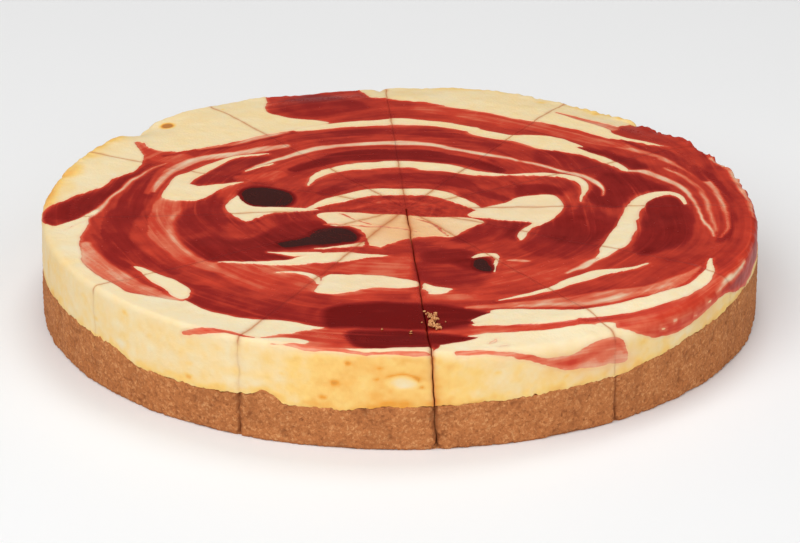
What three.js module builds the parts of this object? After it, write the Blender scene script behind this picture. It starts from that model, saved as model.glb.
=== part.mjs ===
// A round baked cheesecake, cut into twelve slices that still stand together. Each slice is a wedge of
// crumb crust with a wedge of filling on it. Millimetres, +Z up, the origin under the middle of the cake,
// and the side that faces the viewer at -Y. Directions are degrees anticlockwise from +X, seen from above.
import * as THREE from "three";

// Whole cake
const CAKE_RADIUS = 114.5;
const TOP_HEIGHT = 31.9;
const CRUST_HEIGHT = 13;

// The knife's cuts meet a little off the middle
const CUT_CENTRE = new THREE.Vector2(2, 0);
const CUT_DIRECTIONS = [273.7, 304, 333, 362, 391, 421, 453.6, 485.5, 515, 544, 574, 604];
const CUT_WIDTH = 0.5;

// Between the two layers
const LAYER_GAP = 0.2;

// The filling's rim, as [direction, height]: level at the left, slumped at the front right
const RIM_HEIGHTS = [
  [5, 31.6], [30, 31.4], [47, 29.9], [62, 30.7], [78, 31.4], [88, 30.3], [104, 30.1], [120, 31.2], [131, 31.8],
  [140, 30.6], [147, 32.3], [180, 32.2], [225, 32.5], [270, 32.5], [282, 31], [298, 29.4], [325, 29.2], [345, 30.6],
];
const RIM_REACH = 16;

// The rounding of the top edge, as [direction, radius]: wide where the rim has slumped
const RIM_ROUNDINGS = [
  [40, 2.6], [80, 2.2], [150, 1.8], [225, 1.6], [270, 1.8], [298, 4.2], [325, 4.4], [350, 3],
];

// The crust's edge round the side, as [direction, height]: ragged, and higher at the right
const CRUST_EDGE_HEIGHTS = [
  [0, 19.6], [25, 18], [60, 16], [90, 14.4], [120, 16.4], [150, 14.8], [180, 15.6], [205, 16.6], [219, 16.2],
  [226, 13], [240, 13.2], [246, 14.2], [249, 16.4], [253, 12.8], [261, 12.9], [268, 14.2], [280, 14.6],
  [305, 15.4], [312, 16.8], [322, 19], [340, 20.4],
];
const CRUST_REACH = 20;

// The crust's bottom edge is broken back a little, as crumbs are
const CRUST_FOOT = 1;

// Fineness: rays across a slice, and rows of corners over each layer, as distances in from the side
const SLICE_STEPS = 10;
const ROUNDING_STEPS = 4;
const SIDE_STEPS = 3;
const LAYER_INSETS = [3, 6, 10, 15, 20, 60];
const TOP_INSETS = [7, 10, 13, 16, 60];

const CRUST_COLOUR = new THREE.Color(0.52, 0.33, 0.18);
const FILLING_COLOUR = new THREE.Color(0.93, 0.8, 0.55);

const { degToRad, radToDeg, euclideanModulo, lerp, smoothstep } = THREE.MathUtils;

// A smooth closed curve round the cake through [direction, value] pairs that rise in direction
function roundTheCake(pairs, direction) {
  const turned = euclideanModulo(direction - pairs[0][0], 360) + pairs[0][0];
  const closed = [...pairs, [pairs[0][0] + 360, pairs[0][1]]];
  const after = closed.findIndex(([at]) => at > turned);
  const [before, next] = [closed[after - 1], closed[after]];
  return lerp(before[1], next[1], smoothstep(turned, before[0], next[0]));
}

const directionOf = (point) => radToDeg(Math.atan2(point.y, point.x));

// A layer's height: the edge's own at the side, settling to the inner height over the reach
function layerHeight(point, innerHeight, edgeHeights, reach) {
  const nearness = smoothstep(point.length(), CAKE_RADIUS - reach, CAKE_RADIUS);
  return lerp(innerHeight, roundTheCake(edgeHeights, directionOf(point)), nearness);
}

const topHeightAt = (point) => layerHeight(point, TOP_HEIGHT, RIM_HEIGHTS, RIM_REACH);
const crustHeightAt = (point) => layerHeight(point, CRUST_HEIGHT, CRUST_EDGE_HEIGHTS, CRUST_REACH);

// A ray out of a slice's tip: its length to the cake's side, and the points along it
function rayFromTip(tip, direction) {
  const along = new THREE.Vector2(Math.cos(degToRad(direction)), Math.sin(degToRad(direction)));
  const offset = tip.dot(along);
  const length = Math.sqrt(offset ** 2 - tip.lengthSq() + CAKE_RADIUS ** 2) - offset;
  const pointAt = (distance) => tip.clone().addScaledVector(along, distance);
  return { length, pointAt };
}

// Sections along a ray, as [distance, height] from the bottom of the tip round to the top of the tip

function crustSection(ray) {
  const surface = (distance) => [distance, crustHeightAt(ray.pointAt(distance))];
  const edge = surface(ray.length);
  return [
    [0, 0],
    [ray.length - CRUST_FOOT, 0],
    [ray.length, CRUST_FOOT],
    [ray.length, edge[1] / 2],
    edge,
    ...LAYER_INSETS.map((inset) => surface(ray.length - inset)),
    surface(0),
  ];
}

function fillingSection(ray) {
  const underside = (distance) => [distance, crustHeightAt(ray.pointAt(distance)) + LAYER_GAP];
  const surface = (distance) => [distance, topHeightAt(ray.pointAt(distance))];
  const rounding = roundTheCake(RIM_ROUNDINGS, directionOf(ray.pointAt(ray.length)));
  const sideBottom = underside(ray.length)[1];
  const roundingTop = surface(ray.length - rounding)[1];
  const side = Array.from({ length: SIDE_STEPS }, (_, step) => {
    return [ray.length, lerp(sideBottom, roundingTop - rounding, step / SIDE_STEPS)];
  });
  const corner = Array.from({ length: ROUNDING_STEPS + 1 }, (_, step) => {
    const turn = (step / ROUNDING_STEPS) * (Math.PI / 2);
    return [ray.length - rounding * (1 - Math.cos(turn)), roundingTop - rounding * (1 - Math.sin(turn))];
  });
  return [
    underside(0),
    ...LAYER_INSETS.map((inset) => underside(ray.length - inset)).reverse(),
    ...side,
    ...corner,
    ...TOP_INSETS.map((inset) => surface(ray.length - inset)),
    surface(0),
  ];
}

// The triangles of a flat section, all turned anticlockwise
function sectionTriangles(section) {
  const outline = section.map(([distance, height]) => new THREE.Vector2(distance, height));
  return THREE.ShapeUtils.triangulateShape(outline, []).map((face) => {
    const anticlockwise = THREE.ShapeUtils.area(face.map((place) => outline[place])) > 0;
    return anticlockwise ? face : [face[0], face[2], face[1]];
  });
}

// A closed wedge: the section swept about the tip's upright edge, with its two cut faces. The first and last
// places of every section lie on that edge, so the rays share them. Each patch is split from its inner corner
// to its outer one on the next ray, so that two layers that face each other are split alike.
function sweptWedge(rays, sectionAlong) {
  const sections = rays.map(sectionAlong);
  const last = sections[0].length - 1;
  const corners = [];
  const cornerAt = (step, place) => (place === 0 || place === last ? place : step * (last + 1) + place);
  sections.forEach((section, step) => {
    section.forEach(([distance, height]) => {
      const point = rays[step].pointAt(distance);
      corners.push(point.x, point.y, height);
    });
  });

  const triangles = [];
  for (let step = 0; step + 1 < rays.length; step += 1) {
    for (let place = 0; place < last; place += 1) {
      const [low, high] = [cornerAt(step, place), cornerAt(step, place + 1)];
      const [nextLow, nextHigh] = [cornerAt(step + 1, place), cornerAt(step + 1, place + 1)];
      const inwards = sections[step][place + 1][0] < sections[step][place][0];
      if (inwards) {
        triangles.push(low, nextLow, high);
        if (place + 1 < last) triangles.push(high, nextLow, nextHigh);
      } else {
        triangles.push(low, nextHigh, high);
        if (place > 0) triangles.push(low, nextLow, nextHigh);
      }
    }
  }
  const lastStep = rays.length - 1;
  for (const [a, b, c] of sectionTriangles(sections[0])) {
    triangles.push(cornerAt(0, a), cornerAt(0, b), cornerAt(0, c));
  }
  for (const [a, b, c] of sectionTriangles(sections[lastStep])) {
    triangles.push(cornerAt(lastStep, a), cornerAt(lastStep, c), cornerAt(lastStep, b));
  }

  const geometry = new THREE.BufferGeometry();
  geometry.setAttribute("position", new THREE.Float32BufferAttribute(corners, 3));
  geometry.setIndex(triangles);
  geometry.computeVertexNormals();
  return geometry;
}

// The rays of one slice. Its tip stands back from where the cuts meet, so that both of its faces keep half
// the cut's width from the knife's line.
function sliceRays(from, to) {
  const middle = degToRad((from + to) / 2);
  const setBack = CUT_WIDTH / 2 / Math.sin(degToRad((to - from) / 2));
  const tip = new THREE.Vector2(Math.cos(middle), Math.sin(middle)).multiplyScalar(setBack).add(CUT_CENTRE);
  return Array.from({ length: SLICE_STEPS + 1 }, (_, step) => {
    return rayFromTip(tip, lerp(from, to, step / SLICE_STEPS));
  });
}

function layerMesh(name, geometry, color, roughness) {
  const mesh = new THREE.Mesh(geometry, new THREE.MeshStandardMaterial({ color, roughness, metalness: 0 }));
  mesh.name = name;
  return mesh;
}

const cake = new THREE.Group();
cake.name = "baked_cheesecake";
CUT_DIRECTIONS.forEach((from, slice) => {
  const to = CUT_DIRECTIONS[slice + 1] ?? CUT_DIRECTIONS[0] + 360;
  const rays = sliceRays(from, to);
  const number = String(slice + 1).padStart(2, "0");
  cake.add(layerMesh(`crust_${number}`, sweptWedge(rays, crustSection), CRUST_COLOUR, 0.9));
  cake.add(layerMesh(`filling_${number}`, sweptWedge(rays, fillingSection), FILLING_COLOUR, 0.45));
});

export default cake;
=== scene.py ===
"""A baked cheesecake with a berry swirl on a crumb crust, cut into slices that still stand together.

Lengths are millimetres until a mesh gets its places, and directions are degrees anticlockwise from +X."""
import math
from types import SimpleNamespace

import bpy
import numpy as np
from bpy.props import FloatProperty, FloatVectorProperty, IntProperty, PointerProperty
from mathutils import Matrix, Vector


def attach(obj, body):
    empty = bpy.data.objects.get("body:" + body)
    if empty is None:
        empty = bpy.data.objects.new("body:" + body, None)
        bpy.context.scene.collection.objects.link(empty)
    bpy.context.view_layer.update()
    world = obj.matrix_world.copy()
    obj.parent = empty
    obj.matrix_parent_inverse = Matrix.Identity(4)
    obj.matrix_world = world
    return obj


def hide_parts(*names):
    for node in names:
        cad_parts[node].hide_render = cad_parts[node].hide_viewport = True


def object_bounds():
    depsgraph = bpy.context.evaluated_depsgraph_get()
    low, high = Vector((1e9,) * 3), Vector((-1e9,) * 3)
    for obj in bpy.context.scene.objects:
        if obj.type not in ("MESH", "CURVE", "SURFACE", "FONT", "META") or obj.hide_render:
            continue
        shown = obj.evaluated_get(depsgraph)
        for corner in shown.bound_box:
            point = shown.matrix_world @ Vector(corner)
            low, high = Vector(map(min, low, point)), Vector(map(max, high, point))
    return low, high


bl_info = {
    "name": "Swirl Cheesecake",
    "version": (1, 0, 0),
    "blender": (4, 5, 0),
    "location": "View3D > Sidebar > Cheesecake",
    "description": "Models a sliced baked cheesecake with a berry sauce swirl",
    "category": "Add Mesh",
}

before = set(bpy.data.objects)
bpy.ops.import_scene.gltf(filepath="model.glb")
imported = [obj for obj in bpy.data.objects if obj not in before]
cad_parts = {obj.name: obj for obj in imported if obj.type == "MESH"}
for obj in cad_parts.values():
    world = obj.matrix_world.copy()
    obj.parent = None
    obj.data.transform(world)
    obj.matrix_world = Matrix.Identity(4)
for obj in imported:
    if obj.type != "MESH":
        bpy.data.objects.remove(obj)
CAD_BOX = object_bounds()
MM = 0.001
TINY = 1e-9

# The cake's shape, as its solids have it. What changes round the cake is given as (direction, millimetres)
CAKE_RADIUS = (CAD_BOX[1].x - CAD_BOX[0].x) / 2 / MM
TOP_HEIGHT = 31.9
CRUST_HEIGHT = 13.0
CUT_CENTRE = np.array([2.0, 0.0])
CUT_DIRECTIONS = [273.7, 304, 333, 362, 391, 421, 453.6, 485.5, 515, 544, 574, 604]
RIM_HEIGHTS = [
    (5, 31.6), (30, 31.4), (47, 29.9), (62, 30.7), (78, 31.4), (88, 30.3), (104, 30.1), (120, 31.2),
    (131, 31.8), (140, 30.6), (147, 32.3), (180, 32.2), (225, 32.5), (270, 32.5), (282, 31), (298, 29.4),
    (325, 29.2), (345, 30.6),
]
RIM_REACH = 16.0
RIM_ROUNDINGS = [(40, 2.6), (80, 2.2), (150, 1.8), (225, 1.6), (270, 1.8), (298, 4.2), (325, 4.4), (350, 3)]
CRUST_EDGE_HEIGHTS = [
    (0, 19.6), (25, 18), (60, 16), (90, 14.4), (120, 16.4), (150, 14.8), (180, 15.6), (205, 16.6),
    (219, 16.2), (226, 13), (240, 13.2), (246, 14.2), (249, 16.4), (253, 12.8), (261, 12.9), (268, 14.2),
    (280, 14.6), (305, 15.4), (312, 16.8), (322, 19), (340, 20.4),
]
CRUST_REACH = 20.0
CRUST_FOOT = 1.0

# Finer than in the solids: the gap between the layers, and how far in the crust's edge is ragged
LAYER_GAP = 0.04
RAGGED_REACH = 5

# The front cut has opened, and its foot stands to the right of its top. The others are shut to a hair.
# In the crust it has opened by this share
OPEN_CUT = 0
OPEN_CUT_LEAN = 1.6
CRUST_CUT_SHARE = 0.5
# How far sauce smear and painted shade spread from the cuts, by the cut's place, and from those that aren't
# named
SMEARED_AND_SHADED_CUTS = {0: 0.6, 11: 0.75}
SMEAR_AND_SHADE_SPREAD = 0.42
# How much further it has spread near the middle, how far out that is, and how much is lost on the side
SMEAR_AND_SHADE_NEAR_MIDDLE, SMEAR_AND_SHADE_MIDDLE, SIDE_SMEAR_AND_SHADE_LOSS = 0.8, 34, 0.75
# How deep the foot has crumbled at some cuts, by the cut's place, and how wide and high
CRUMBLED_CUTS = {0: 1.5, 11: 0.9, 1: 0.7}
CRUMBLED_WIDTH, CRUMBLED_HEIGHT, CRUMBLED_FADE = 1.2, 7, 6
CRUMBLED_ABOVE, CRUMBLED_BELOW = 0.75, 0.45
# How far from a cut it still strays and leans, and how far out from the tip that starts
STRAY_SPREAD, LEAN_SPREAD, STRAY_START = 2.5, 6, 12
CUT_NOISE_STEP = 37
# How the edges at the cuts are worn down, as (width, depth): more where the open cut comes out at the rim
SHUT_WEAR, OPEN_WEAR, MOUTH_WEAR, CRUST_WEAR = (0.4, 0.05), (0.8, 0.4), (0.6, 0.9), (0.5, 0.15)
MOUTH_PLACE, MOUTH_SPREAD = 0.5, 2.6

# A slice's mesh: shares of its angle where the first rays stand, and insets of its rows from its side
RAYS_BESIDE_CUT = np.array([0, 0.0012, 0.003, 0.0055, 0.009])
FIRST_EVEN_RAY = 0.0135
FILLING_UNDERSIDE = [60, 20, 10, 4, 1.5]
ROUNDING_ROWS = 7
CRUST_UNDERSIDE = [60, 12, 4, 2]
CRUST_FOOT_TURNS = [0, 0.5, 1.0]
CRUST_BRIM = [0, 0.12, 0.6, 2, 4]
CRUST_BRIM_DROPS = [0.3, 0.08]
CRUST_TOP = [7, 12, 20, 60]
SMOOTH_UP_TO = 55
TIP_WELD = 0.0001
FIRST_FACE, LAST_FACE, BOTH_FACES = 1, 2, 3

# Noises, each as (how much, size, seed)
NOISE_CELLS = 127
CRUST_EDGE_NOISE = [(0.34, 2.4, 31), (0.26, 0.9, 32)]
VOID_NOISE = [(1, 1.7, 33)]
VOID_DEPTH, VOID_LEVEL = 0.9, 0.4
STROKE_SHIFT_X = [(0.9, 9, 1), (0.2, 2.6, 2)]
STROKE_SHIFT_Y = [(0.9, 9, 3), (0.2, 2.6, 4)]
TONE_NOISE = [(0.05, 6, 8)]
FLOW_ACROSS_NOISE = [(3.5, 27, 5)]
FLOW_ALONG_NOISE = [(4, 30, 6)]
CUT_STRAY = [(0.32, 4.2, 51), (0.16, 1.5, 52)]
CUT_SMEAR_AND_SHADE_NOISE = [(0.4, 2.4, 53)]
SIDE_BANDS = [(0.05, 2.2, 11)]
SIDE_CLOUDS = [(0.13, 11, 12), (0.07, 1.3, 20)]
SIDE_PATCHES = [(0.14, 4.2, 19)]
FOOT_TINT_EDGE = [(1.5, 2.5, 18)]
SPECK_EDGE = [(0.35, 1.1, 16)]
POCKET_EDGE = [(0.26, 2.8, 17)]
TOP_CLOUDS = [(0.06, 12, 13), (0.05, 3, 14)]
TOASTED_EDGE = [(2.5, 5, 15)]
TOP_SWELL = [(0.22, 15, 21)]
TOP_RIPPLE = [(1, 5, 22)]
RIPPLE_ON_CREAM, RIPPLE_ON_SAUCE = 0.1, 0.03
CREAM_DIMPLES = [(0.05, 1.8, 23)]
SIDE_RIDGES = [(0.08, 3.4, 24)]
SIDE_DIMPLES = [(0.1, 2.1, 27)]
CRAG_NOISE = [(0.5, 8, 28), (0.5, 3.6, 25), (0.5, 1.5, 26)]
CRUST_SWELL = [(0.3, 6, 43), (0.2, 0.8, 44)]
CRUST_PIT_NOISE = [(1, 1.9, 45)]
PIT_DEPTH, PIT_LEVEL = 0.8, 0.45
CRUMBLED_HEIGHT_NOISE = [(2, 3, 46)]
NOTCH_NOISE = [(0.8, 1.2, 47)]
# Layers of grains in the crust's side, as (height, share of the grain size, seed)
GRAIN_LAYERS = [(0.3, 1, 41), (0.16, 0.55, 42)]
GRAIN_LEVEL = 0.6
# How deep the finest grain is, which only bends the light
GRAIN_DEPTH = 0.4
# How far the noises of the top are turned, so that they don't line up with each other
SWELL_TURN, RIPPLE_TURN = 0.6, 1.1

# How the sauce looks, from none to a deep pool
CREAM, BLUSH, ROSE, PINK, RUDDY, BRIGHT = 0.0, 0.12, 0.2, 0.27, 0.36, 0.42
RED, DEEP, DARK, INKY, BLACKENED = 0.54, 0.66, 0.8, 1.0, 1.5
LEAST_TONE = 0.02
STROKE_MARGIN = 4.0
POOL_SOFTNESS, STREAK_SOFTNESS = 3.4, 1.5
CURVE_STEPS = 6
FLOW_RADIUS = 60.0
# The strokes are laid out on a level top. They slid this far to the front for each millimetre of slump
SLUMP_SHIFT = 2.36

# Strokes of sauce and of bare cream, in the order they are laid on, as (tone, points). A pool's points are
# (x, y) round its outline, and a streak's are (x, y, width) along it. Past the rim they go on down the side
SWIRL = [
    # sauce ground
    (RED, [(-10, 101), (-30, 96), (-60, 75), (-85, 58), (-92, 30), (-99, 5), (-99, -15), (-101, -25),
        (-100, -35), (-97, -43), (-92, -55), (-88, -62), (-83, -68), (-75, -71), (-67, -73), (-62, -79),
        (-55, -85), (-45, -88), (-33, -90), (-22, -95), (0, -100), (20, -100), (45, -96), (66, -90),
        (80, -84), (94, -76), (98, -67), (105, -58), (112, -49), (118, -38), (121, -22), (122, 0),
        (119, 20), (112, 42), (101, 62), (86, 78), (70, 84), (45, 92), (10, 100)]),
    # left outer streams
    (DEEP, [(-82, 38), (-90, 28), (-97, 19), (-104, 11), (-110, 5), (-114, -1), (-114, -10), (-110, -14),
        (-104, -12.6), (-97.4, -0.6), (-93, 10), (-89.4, 22), (-84, 31)]),
    (DARK, [(-87, 28), (-96, 16), (-104, 8), (-110, 1), (-112, -7), (-106, -9.6), (-100, -2), (-95, 8)]),
    (DEEP, [(-74, 38, 3), (-82, 22, 8), (-86, 5, 9), (-90, -12, 11), (-89, -28, 9), (-80, -42, 8),
        (-70, -52, 5)]),
    (BLUSH, [(-76, 41, 0.6), (-83, 32, 1.1), (-89, 21, 1.5), (-93, 9, 1.5), (-97, -1.6, 2.2),
        (-101.6, -9.6, 3), (-107, -16, 4)]),
    (CREAM, [(-97, -1.6, 1.2), (-101.6, -9.6, 2.6), (-107, -16, 4.4), (-112, -22, 4)]),
    (BRIGHT, [(-87, 58, 2), (-80, 47, 9), (-72, 42, 8), (-79, 28, 4), (-82, 14, 2)]),
    (RUDDY, [(-74, 12, 6), (-76, -4, 12), (-74, -20, 12), (-68, -36, 9), (-59, -48, 7), (-50, -54, 4)]),
    (PINK, [(-72, -2, 1.5), (-72.5, -14, 3.2), (-70.5, -26, 4.2), (-65, -37, 3.6), (-58, -47, 3),
        (-52, -53, 1)]),
    (DEEP, [(-97, -22, 1), (-92, -36, 3), (-84, -48, 3), (-72, -58, 2.5), (-58, -64, 1)]),
    # pink rim stripe at the left front
    (PINK, [(-99, -30, 3), (-95, -43, 7), (-88, -56, 8), (-80, -65, 7), (-72, -71, 3), (-67, -74, 1)]),
    (DEEP, [(-67, -61), (-66.5, -70), (-63, -77), (-56, -83), (-46, -87), (-38, -89), (-30, -90),
        (-23, -94), (-20, -84), (-30, -78), (-48, -72), (-60, -64)]),
    # cream pocket between
    (CREAM, [(-82.4, -48.6), (-81, -52), (-78, -57.4), (-73.2, -64.8), (-68.8, -72.6), (-65.8, -73),
        (-64.4, -68), (-64.8, -64), (-69, -59.4), (-74.2, -55), (-79, -50)]),
    # bright ground in front of the middle
    (BRIGHT, [(-56, -46), (-40, -47), (-28, -46), (-21, -47), (-20, -52), (-26, -60), (-27, -69),
        (-40, -68), (-52, -60)]),
    (CREAM, [(-38, -52.3, 0.6), (-31, -53, 2), (-26.5, -57, 3), (-25.5, -62, 1.4)]),
    # large dark mass at the left of the middle
    (DEEP, [(-60, 13), (-56, 5), (-56, -3), (-52, -10), (-46, -10), (-40, -4), (-30, -3), (-22, -5),
        (-20, -12), (-16, -16), (-12.5, -20), (-12, -27), (-18, -31), (-30, -34), (-42, -35), (-33, -40),
        (-42, -42.5), (-57, -44), (-63, -39), (-69, -29), (-71, -18), (-70.5, -6), (-67, 5), (-64, 12)]),
    (DARK, [(-66, -28), (-60, -24), (-50, -27), (-42, -20), (-33, -10), (-24, -13), (-17, -16.5),
        (-13, -21), (-12.5, -27), (-19, -30.5), (-32, -33.5), (-42, -35.5), (-34, -40), (-43, -42),
        (-57, -43.5), (-63, -38)]),
    (BLACKENED, [(-30, -24), (-25, -17), (-18, -17), (-13.5, -21.5), (-13.5, -27), (-19, -29.5), (-28, -31),
        (-36, -32), (-38, -28)]),
    (RED, [(-55, -12), (-48, -13), (-42, -8), (-40, -16), (-46, -24), (-54, -22)]),
    # middle cream and its lines
    (CREAM, [(-26, -4), (-24.5, -10), (-21, -15), (-15, -15.5), (-11, -20), (-10.5, -29), (-7, -31.5),
        (-1, -33), (3, -30), (6, -24), (11, -22.5), (17, -24), (22, -17), (27, -12), (22, -8.5), (12, -7.5),
        (2, -6), (-12, -3.5)]),
    (PINK, [(-24, -13, 0.6), (-14, -14.6, 0.9), (-4, -15.6, 0.8), (5, -19.5, 0.6)]),
    (PINK, [(4, -8, 0.5), (10.5, -13, 0.8), (15.5, -23, 0.8)]),
    (PINK, [(-20, -4, 0.4), (-14, -10, 0.7), (-9, -13, 0.5)]),
    (BRIGHT, [(-12, -24, 1), (-13, -30, 2.2), (-15.5, -36, 2.4), (-19, -44, 1.6)]),
    # reds in front of the middle
    (RED, [(3.5, -24), (12, -24), (17, -26), (20, -31), (16, -36), (3, -37), (-8, -37), (-14, -37.5),
        (-8, -33)]),
    (RUDDY, [(-20.5, -50), (-18, -46), (-11, -42), (-4, -39.5), (3, -38), (5, -46), (3.5, -56.5),
        (-5, -54.5), (-14, -53.4)]),
    (CREAM, [(-57, -44.6, 0.5), (-45, -44.4, 2.2), (-34, -43.6, 4.4), (-26, -41.6, 7.2), (-19, -40.4, 6.6),
        (-13.5, -39.6, 4.6), (-8, -38.6, 2.4), (-3.6, -38.4, 0.6)]),
    (CREAM, [(-41, -36, 0.6), (-34, -37.2, 2.2), (-26, -38.8, 4.4)]),
    (CREAM, [(-27, -34, 0.5), (-19, -32.6, 1.6), (-13.6, -30.6, 2.2), (-11.6, -28, 1)]),
    # dark mass at the right of the cut
    (DEEP, [(16, -26), (24, -17), (28, -11.5), (34, -10), (41, -11), (41, -15), (38, -21), (37.5, -26),
        (30, -27), (22, -30)]),
    (DARK, [(33, -22), (35, -14), (39, -13), (38.5, -18), (37, -25)]),
    (RED, [(20, -33), (26, -29), (36, -27.5), (44, -28), (40, -36), (32, -35), (24, -36)]),
    (DARK, [(8, -36), (18, -34), (24, -37), (28, -42), (29, -52), (22, -51), (16, -46), (8, -44)]),
    (BLACKENED, [(24, -41), (27, -42.5), (28.5, -46), (28.6, -51), (25, -51), (22.6, -47)]),
    (DEEP, [(5, -44), (14, -48), (24, -53), (22, -60), (8, -60)]),
    (DEEP, [(46, -10), (51, -6), (52, 3), (58, 4), (66, -4), (71, -10), (67, -20), (64, -30), (58, -38),
        (50, -42), (44, -40), (38, -32), (40, -22)]),
    (DARK, [(52, -8), (58, -6), (66, -12), (63, -24), (56, -30), (48, -24)]),
    (CREAM, [(22.8, -40.6, 1.2), (25.4, -37.8, 2.8), (29, -38.4, 2.8), (30.4, -42, 2), (29.8, -47, 1.2),
        (29, -52, 0.4)]),
    (BRIGHT, [(31.5, -40), (36, -40.5), (41, -43), (38, -46), (31.5, -49)]),
    (BLUSH, [(33.5, -42.6, 1), (37, -43, 2), (40, -43.6, 0.6)]),
    (BRIGHT, [(30, -52), (40, -50), (50, -48), (56, -42), (61, -44), (52, -55), (42, -64), (30, -68),
        (22, -68), (26, -60)]),
    # front cream band
    (CREAM, [(-22.5, -54), (-15, -53.4), (-5, -55), (2.5, -57.5), (5.5, -60), (4, -63), (-3, -65),
        (-10, -66.6), (-18, -69), (-26, -69), (-25, -61)]),
    (CREAM, [(6.6, -61), (10, -63), (16, -65.5), (13, -68.5), (7, -69.5)]),
    (BRIGHT, [(-20, -70, 2), (-8, -68, 3.6), (5, -66.4, 4), (7, -72, 6), (20, -72, 5), (36, -70, 3)]),
    # front dark pools
    (RED, [(-23, -80), (-22, -96), (-14, -98), (0, -98), (18, -96), (28, -87), (26, -80), (10, -74),
        (-8, -74)]),
    (INKY, [(-22, -81), (-23.4, -90), (-21, -95), (-10, -95.6), (8, -96), (21, -92.6), (27.4, -87.5),
        (25, -82.5), (14, -78), (0, -76), (-14, -77)]),
    (BRIGHT, [(-42, -102.4), (-30, -98.6), (-22, -95.4), (-10, -95.4), (10, -97), (26, -95), (40, -92.8),
        (54, -90), (56, -92.6), (44, -96.4), (30, -99.5), (18, -102), (6, -109), (-12, -110.4),
        (-22, -109.6), (-35, -107.4), (-29, -106.4), (-28, -104.4), (-34, -103)]),
    (INKY, [(-15, -97.6), (-4, -96.8), (8, -98), (20, -101.4), (23.4, -103), (20, -105.4), (12, -108.4),
        (5, -110.2), (-3, -110.8), (-10, -110), (-15, -106)]),
    (RUDDY, [(-66.6, -94.4, 1.4), (-62.6, -95.6, 2.6), (-55.8, -97.4, 2.5), (-49, -99.8, 1.4),
        (-43.5, -102.2, 0.6)]),
    (CREAM, [(-13, -110.7, 0.5), (-8, -111.6, 1.1), (-1.8, -111.9, 1.3), (4, -112.2, 1.7),
        (7.6, -112.4, 1.4), (9.6, -113.2, 0.5)]),
    (PINK, [(-38.4, -106.6, 0.4), (-29.8, -108.6, 0.8), (-22, -110.2, 0.9), (-13.7, -112, 0.7),
        (-3, -113, 0.8), (1, -113.3, 1.2), (6, -113.8, 1.4), (9.4, -114.4, 0.8)]),
    (DARK, [(8.4, -106.6), (11.2, -107.4), (11, -111), (10.4, -114.6), (9.4, -114.2), (9, -111)]),
    # right front stripes
    (CREAM, [(97, -42, 1.2), (96.4, -52, 4), (92, -61, 5.4), (84, -69, 7), (74, -76.6, 7.4),
        (62, -82.4, 7.4), (52, -85, 7), (40, -86.6, 9), (30, -87.4, 8), (24, -90, 4)]),
    (CREAM, [(28, -82), (36, -81.5), (50, -84), (54, -89), (40, -92), (26, -94), (22, -93), (28, -88)]),
    (BRIGHT, [(100, -56, 3), (95, -67, 8), (86, -80, 10), (76, -88, 10), (64, -92, 6), (52, -92.6, 3)]),
    (CREAM, [(12, -110), (22, -105.6), (25, -101), (38, -99.6), (48, -96.2), (56, -93), (60, -93.4),
        (64.5, -97), (56, -104), (48, -111), (44, -118), (20, -120), (8, -118)]),
    (CREAM, [(59.6, -92.4), (64.8, -91), (65.4, -94), (64.4, -97)]),
    (CREAM, [(30, -73.6, 0.6), (40, -69, 2.4), (49, -62.6, 4), (56, -57, 5), (63, -52.6, 4.4),
        (70, -49.4, 2.4), (77, -45, 0.6)]),
    (PINK, [(20, -79, 1.6), (36, -77.6, 5), (52, -75, 8), (66, -70, 8.6), (78, -64.6, 7), (88, -56, 4.2),
        (93, -48, 1.6)]),
    (ROSE, [(36, -78.4, 0.8), (50, -76.6, 2.4), (62, -73, 2.6), (74, -67.6, 2), (84, -60, 0.8)]),
    (RED, [(58, -64, 2), (70, -60, 5), (82, -53, 6), (91, -42, 4), (95, -30, 2)]),
    (PINK, [(42, -113.2), (46.4, -111.8), (52.4, -108.4), (61, -101.6), (66, -98.8), (71, -100.4),
        (74.6, -103), (72.6, -105.4), (66, -108), (58, -111.2), (50, -113.6)]),
    (RUDDY, [(17, -113.2, 1.3), (27, -112.8, 1.4), (36, -112.9, 1.5), (43, -113.2, 2), (50, -112.4, 2.4),
        (56, -109.4, 2.2), (62, -104, 1.8), (67, -100.8, 1.4), (72, -101.4, 0.8)]),
    (PINK, [(52, -112.8, 1), (59, -110, 1.8), (67, -106.6, 2), (73, -103.8, 1.6)]),
    # long cream hook at the right
    (DARK, [(79, 9), (84, 11), (89, 9), (92, 2), (93, -10), (91, -24), (84, -34), (76, -38), (74, -30),
        (76, -18), (78, -4)]),
    (CREAM, [(91.4, 4, 0.8), (90.4, 9, 1.8), (86.6, 12.8, 2.6), (81.6, 12.2, 3.8), (77.6, 7.4, 4.6),
        (75.4, 1, 4.6), (73, -9, 5), (70, -20, 7.4), (68, -28, 8.6), (64.4, -35.4, 5), (61.4, -43, 1)]),
    (BLUSH, [(62, -41, 1), (58, -46, 3.4), (52, -52, 1)]),
    # right rim
    (DEEP, [(97, 38, 3), (103, 22, 4), (105.5, 5, 4), (105, -12, 4), (101, -28, 3)]),
    (PINK, [(86, 44, 3), (95, 34, 3.4), (101, 20, 2.6), (104, 4, 2), (104, -12, 1.6), (101, -24, 0.8)]),
    (PINK, [(86, 36, 1.2), (93, 26, 2), (98, 12, 2), (99.5, -4, 1.4), (99.4, -18, 0.8)]),
    (BLUSH, [(74, 33.4, 1.2), (80, 31.6, 3), (86.4, 24.6, 2.8), (92, 14.6, 2.2), (95, 4, 1.6),
        (96.4, -8, 1.3), (99, -23, 0.8)]),
    (ROSE, [(94, 62.7, 0.8), (103, 45.9, 2), (109.8, 27.5, 2.8), (112.8, 7.7, 2.6), (113.2, -6, 1)]),
    (BLUSH, [(109, -40, 0.8), (105.6, -49, 2), (102, -56, 1.6), (98, -64, 0.8)]),
    # back right
    (CREAM, [(-14, 104), (-8, 101.4), (0, 97.6), (10, 92.8), (20, 89.6), (30, 85.6), (40, 79.6), (50, 75.4),
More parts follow.
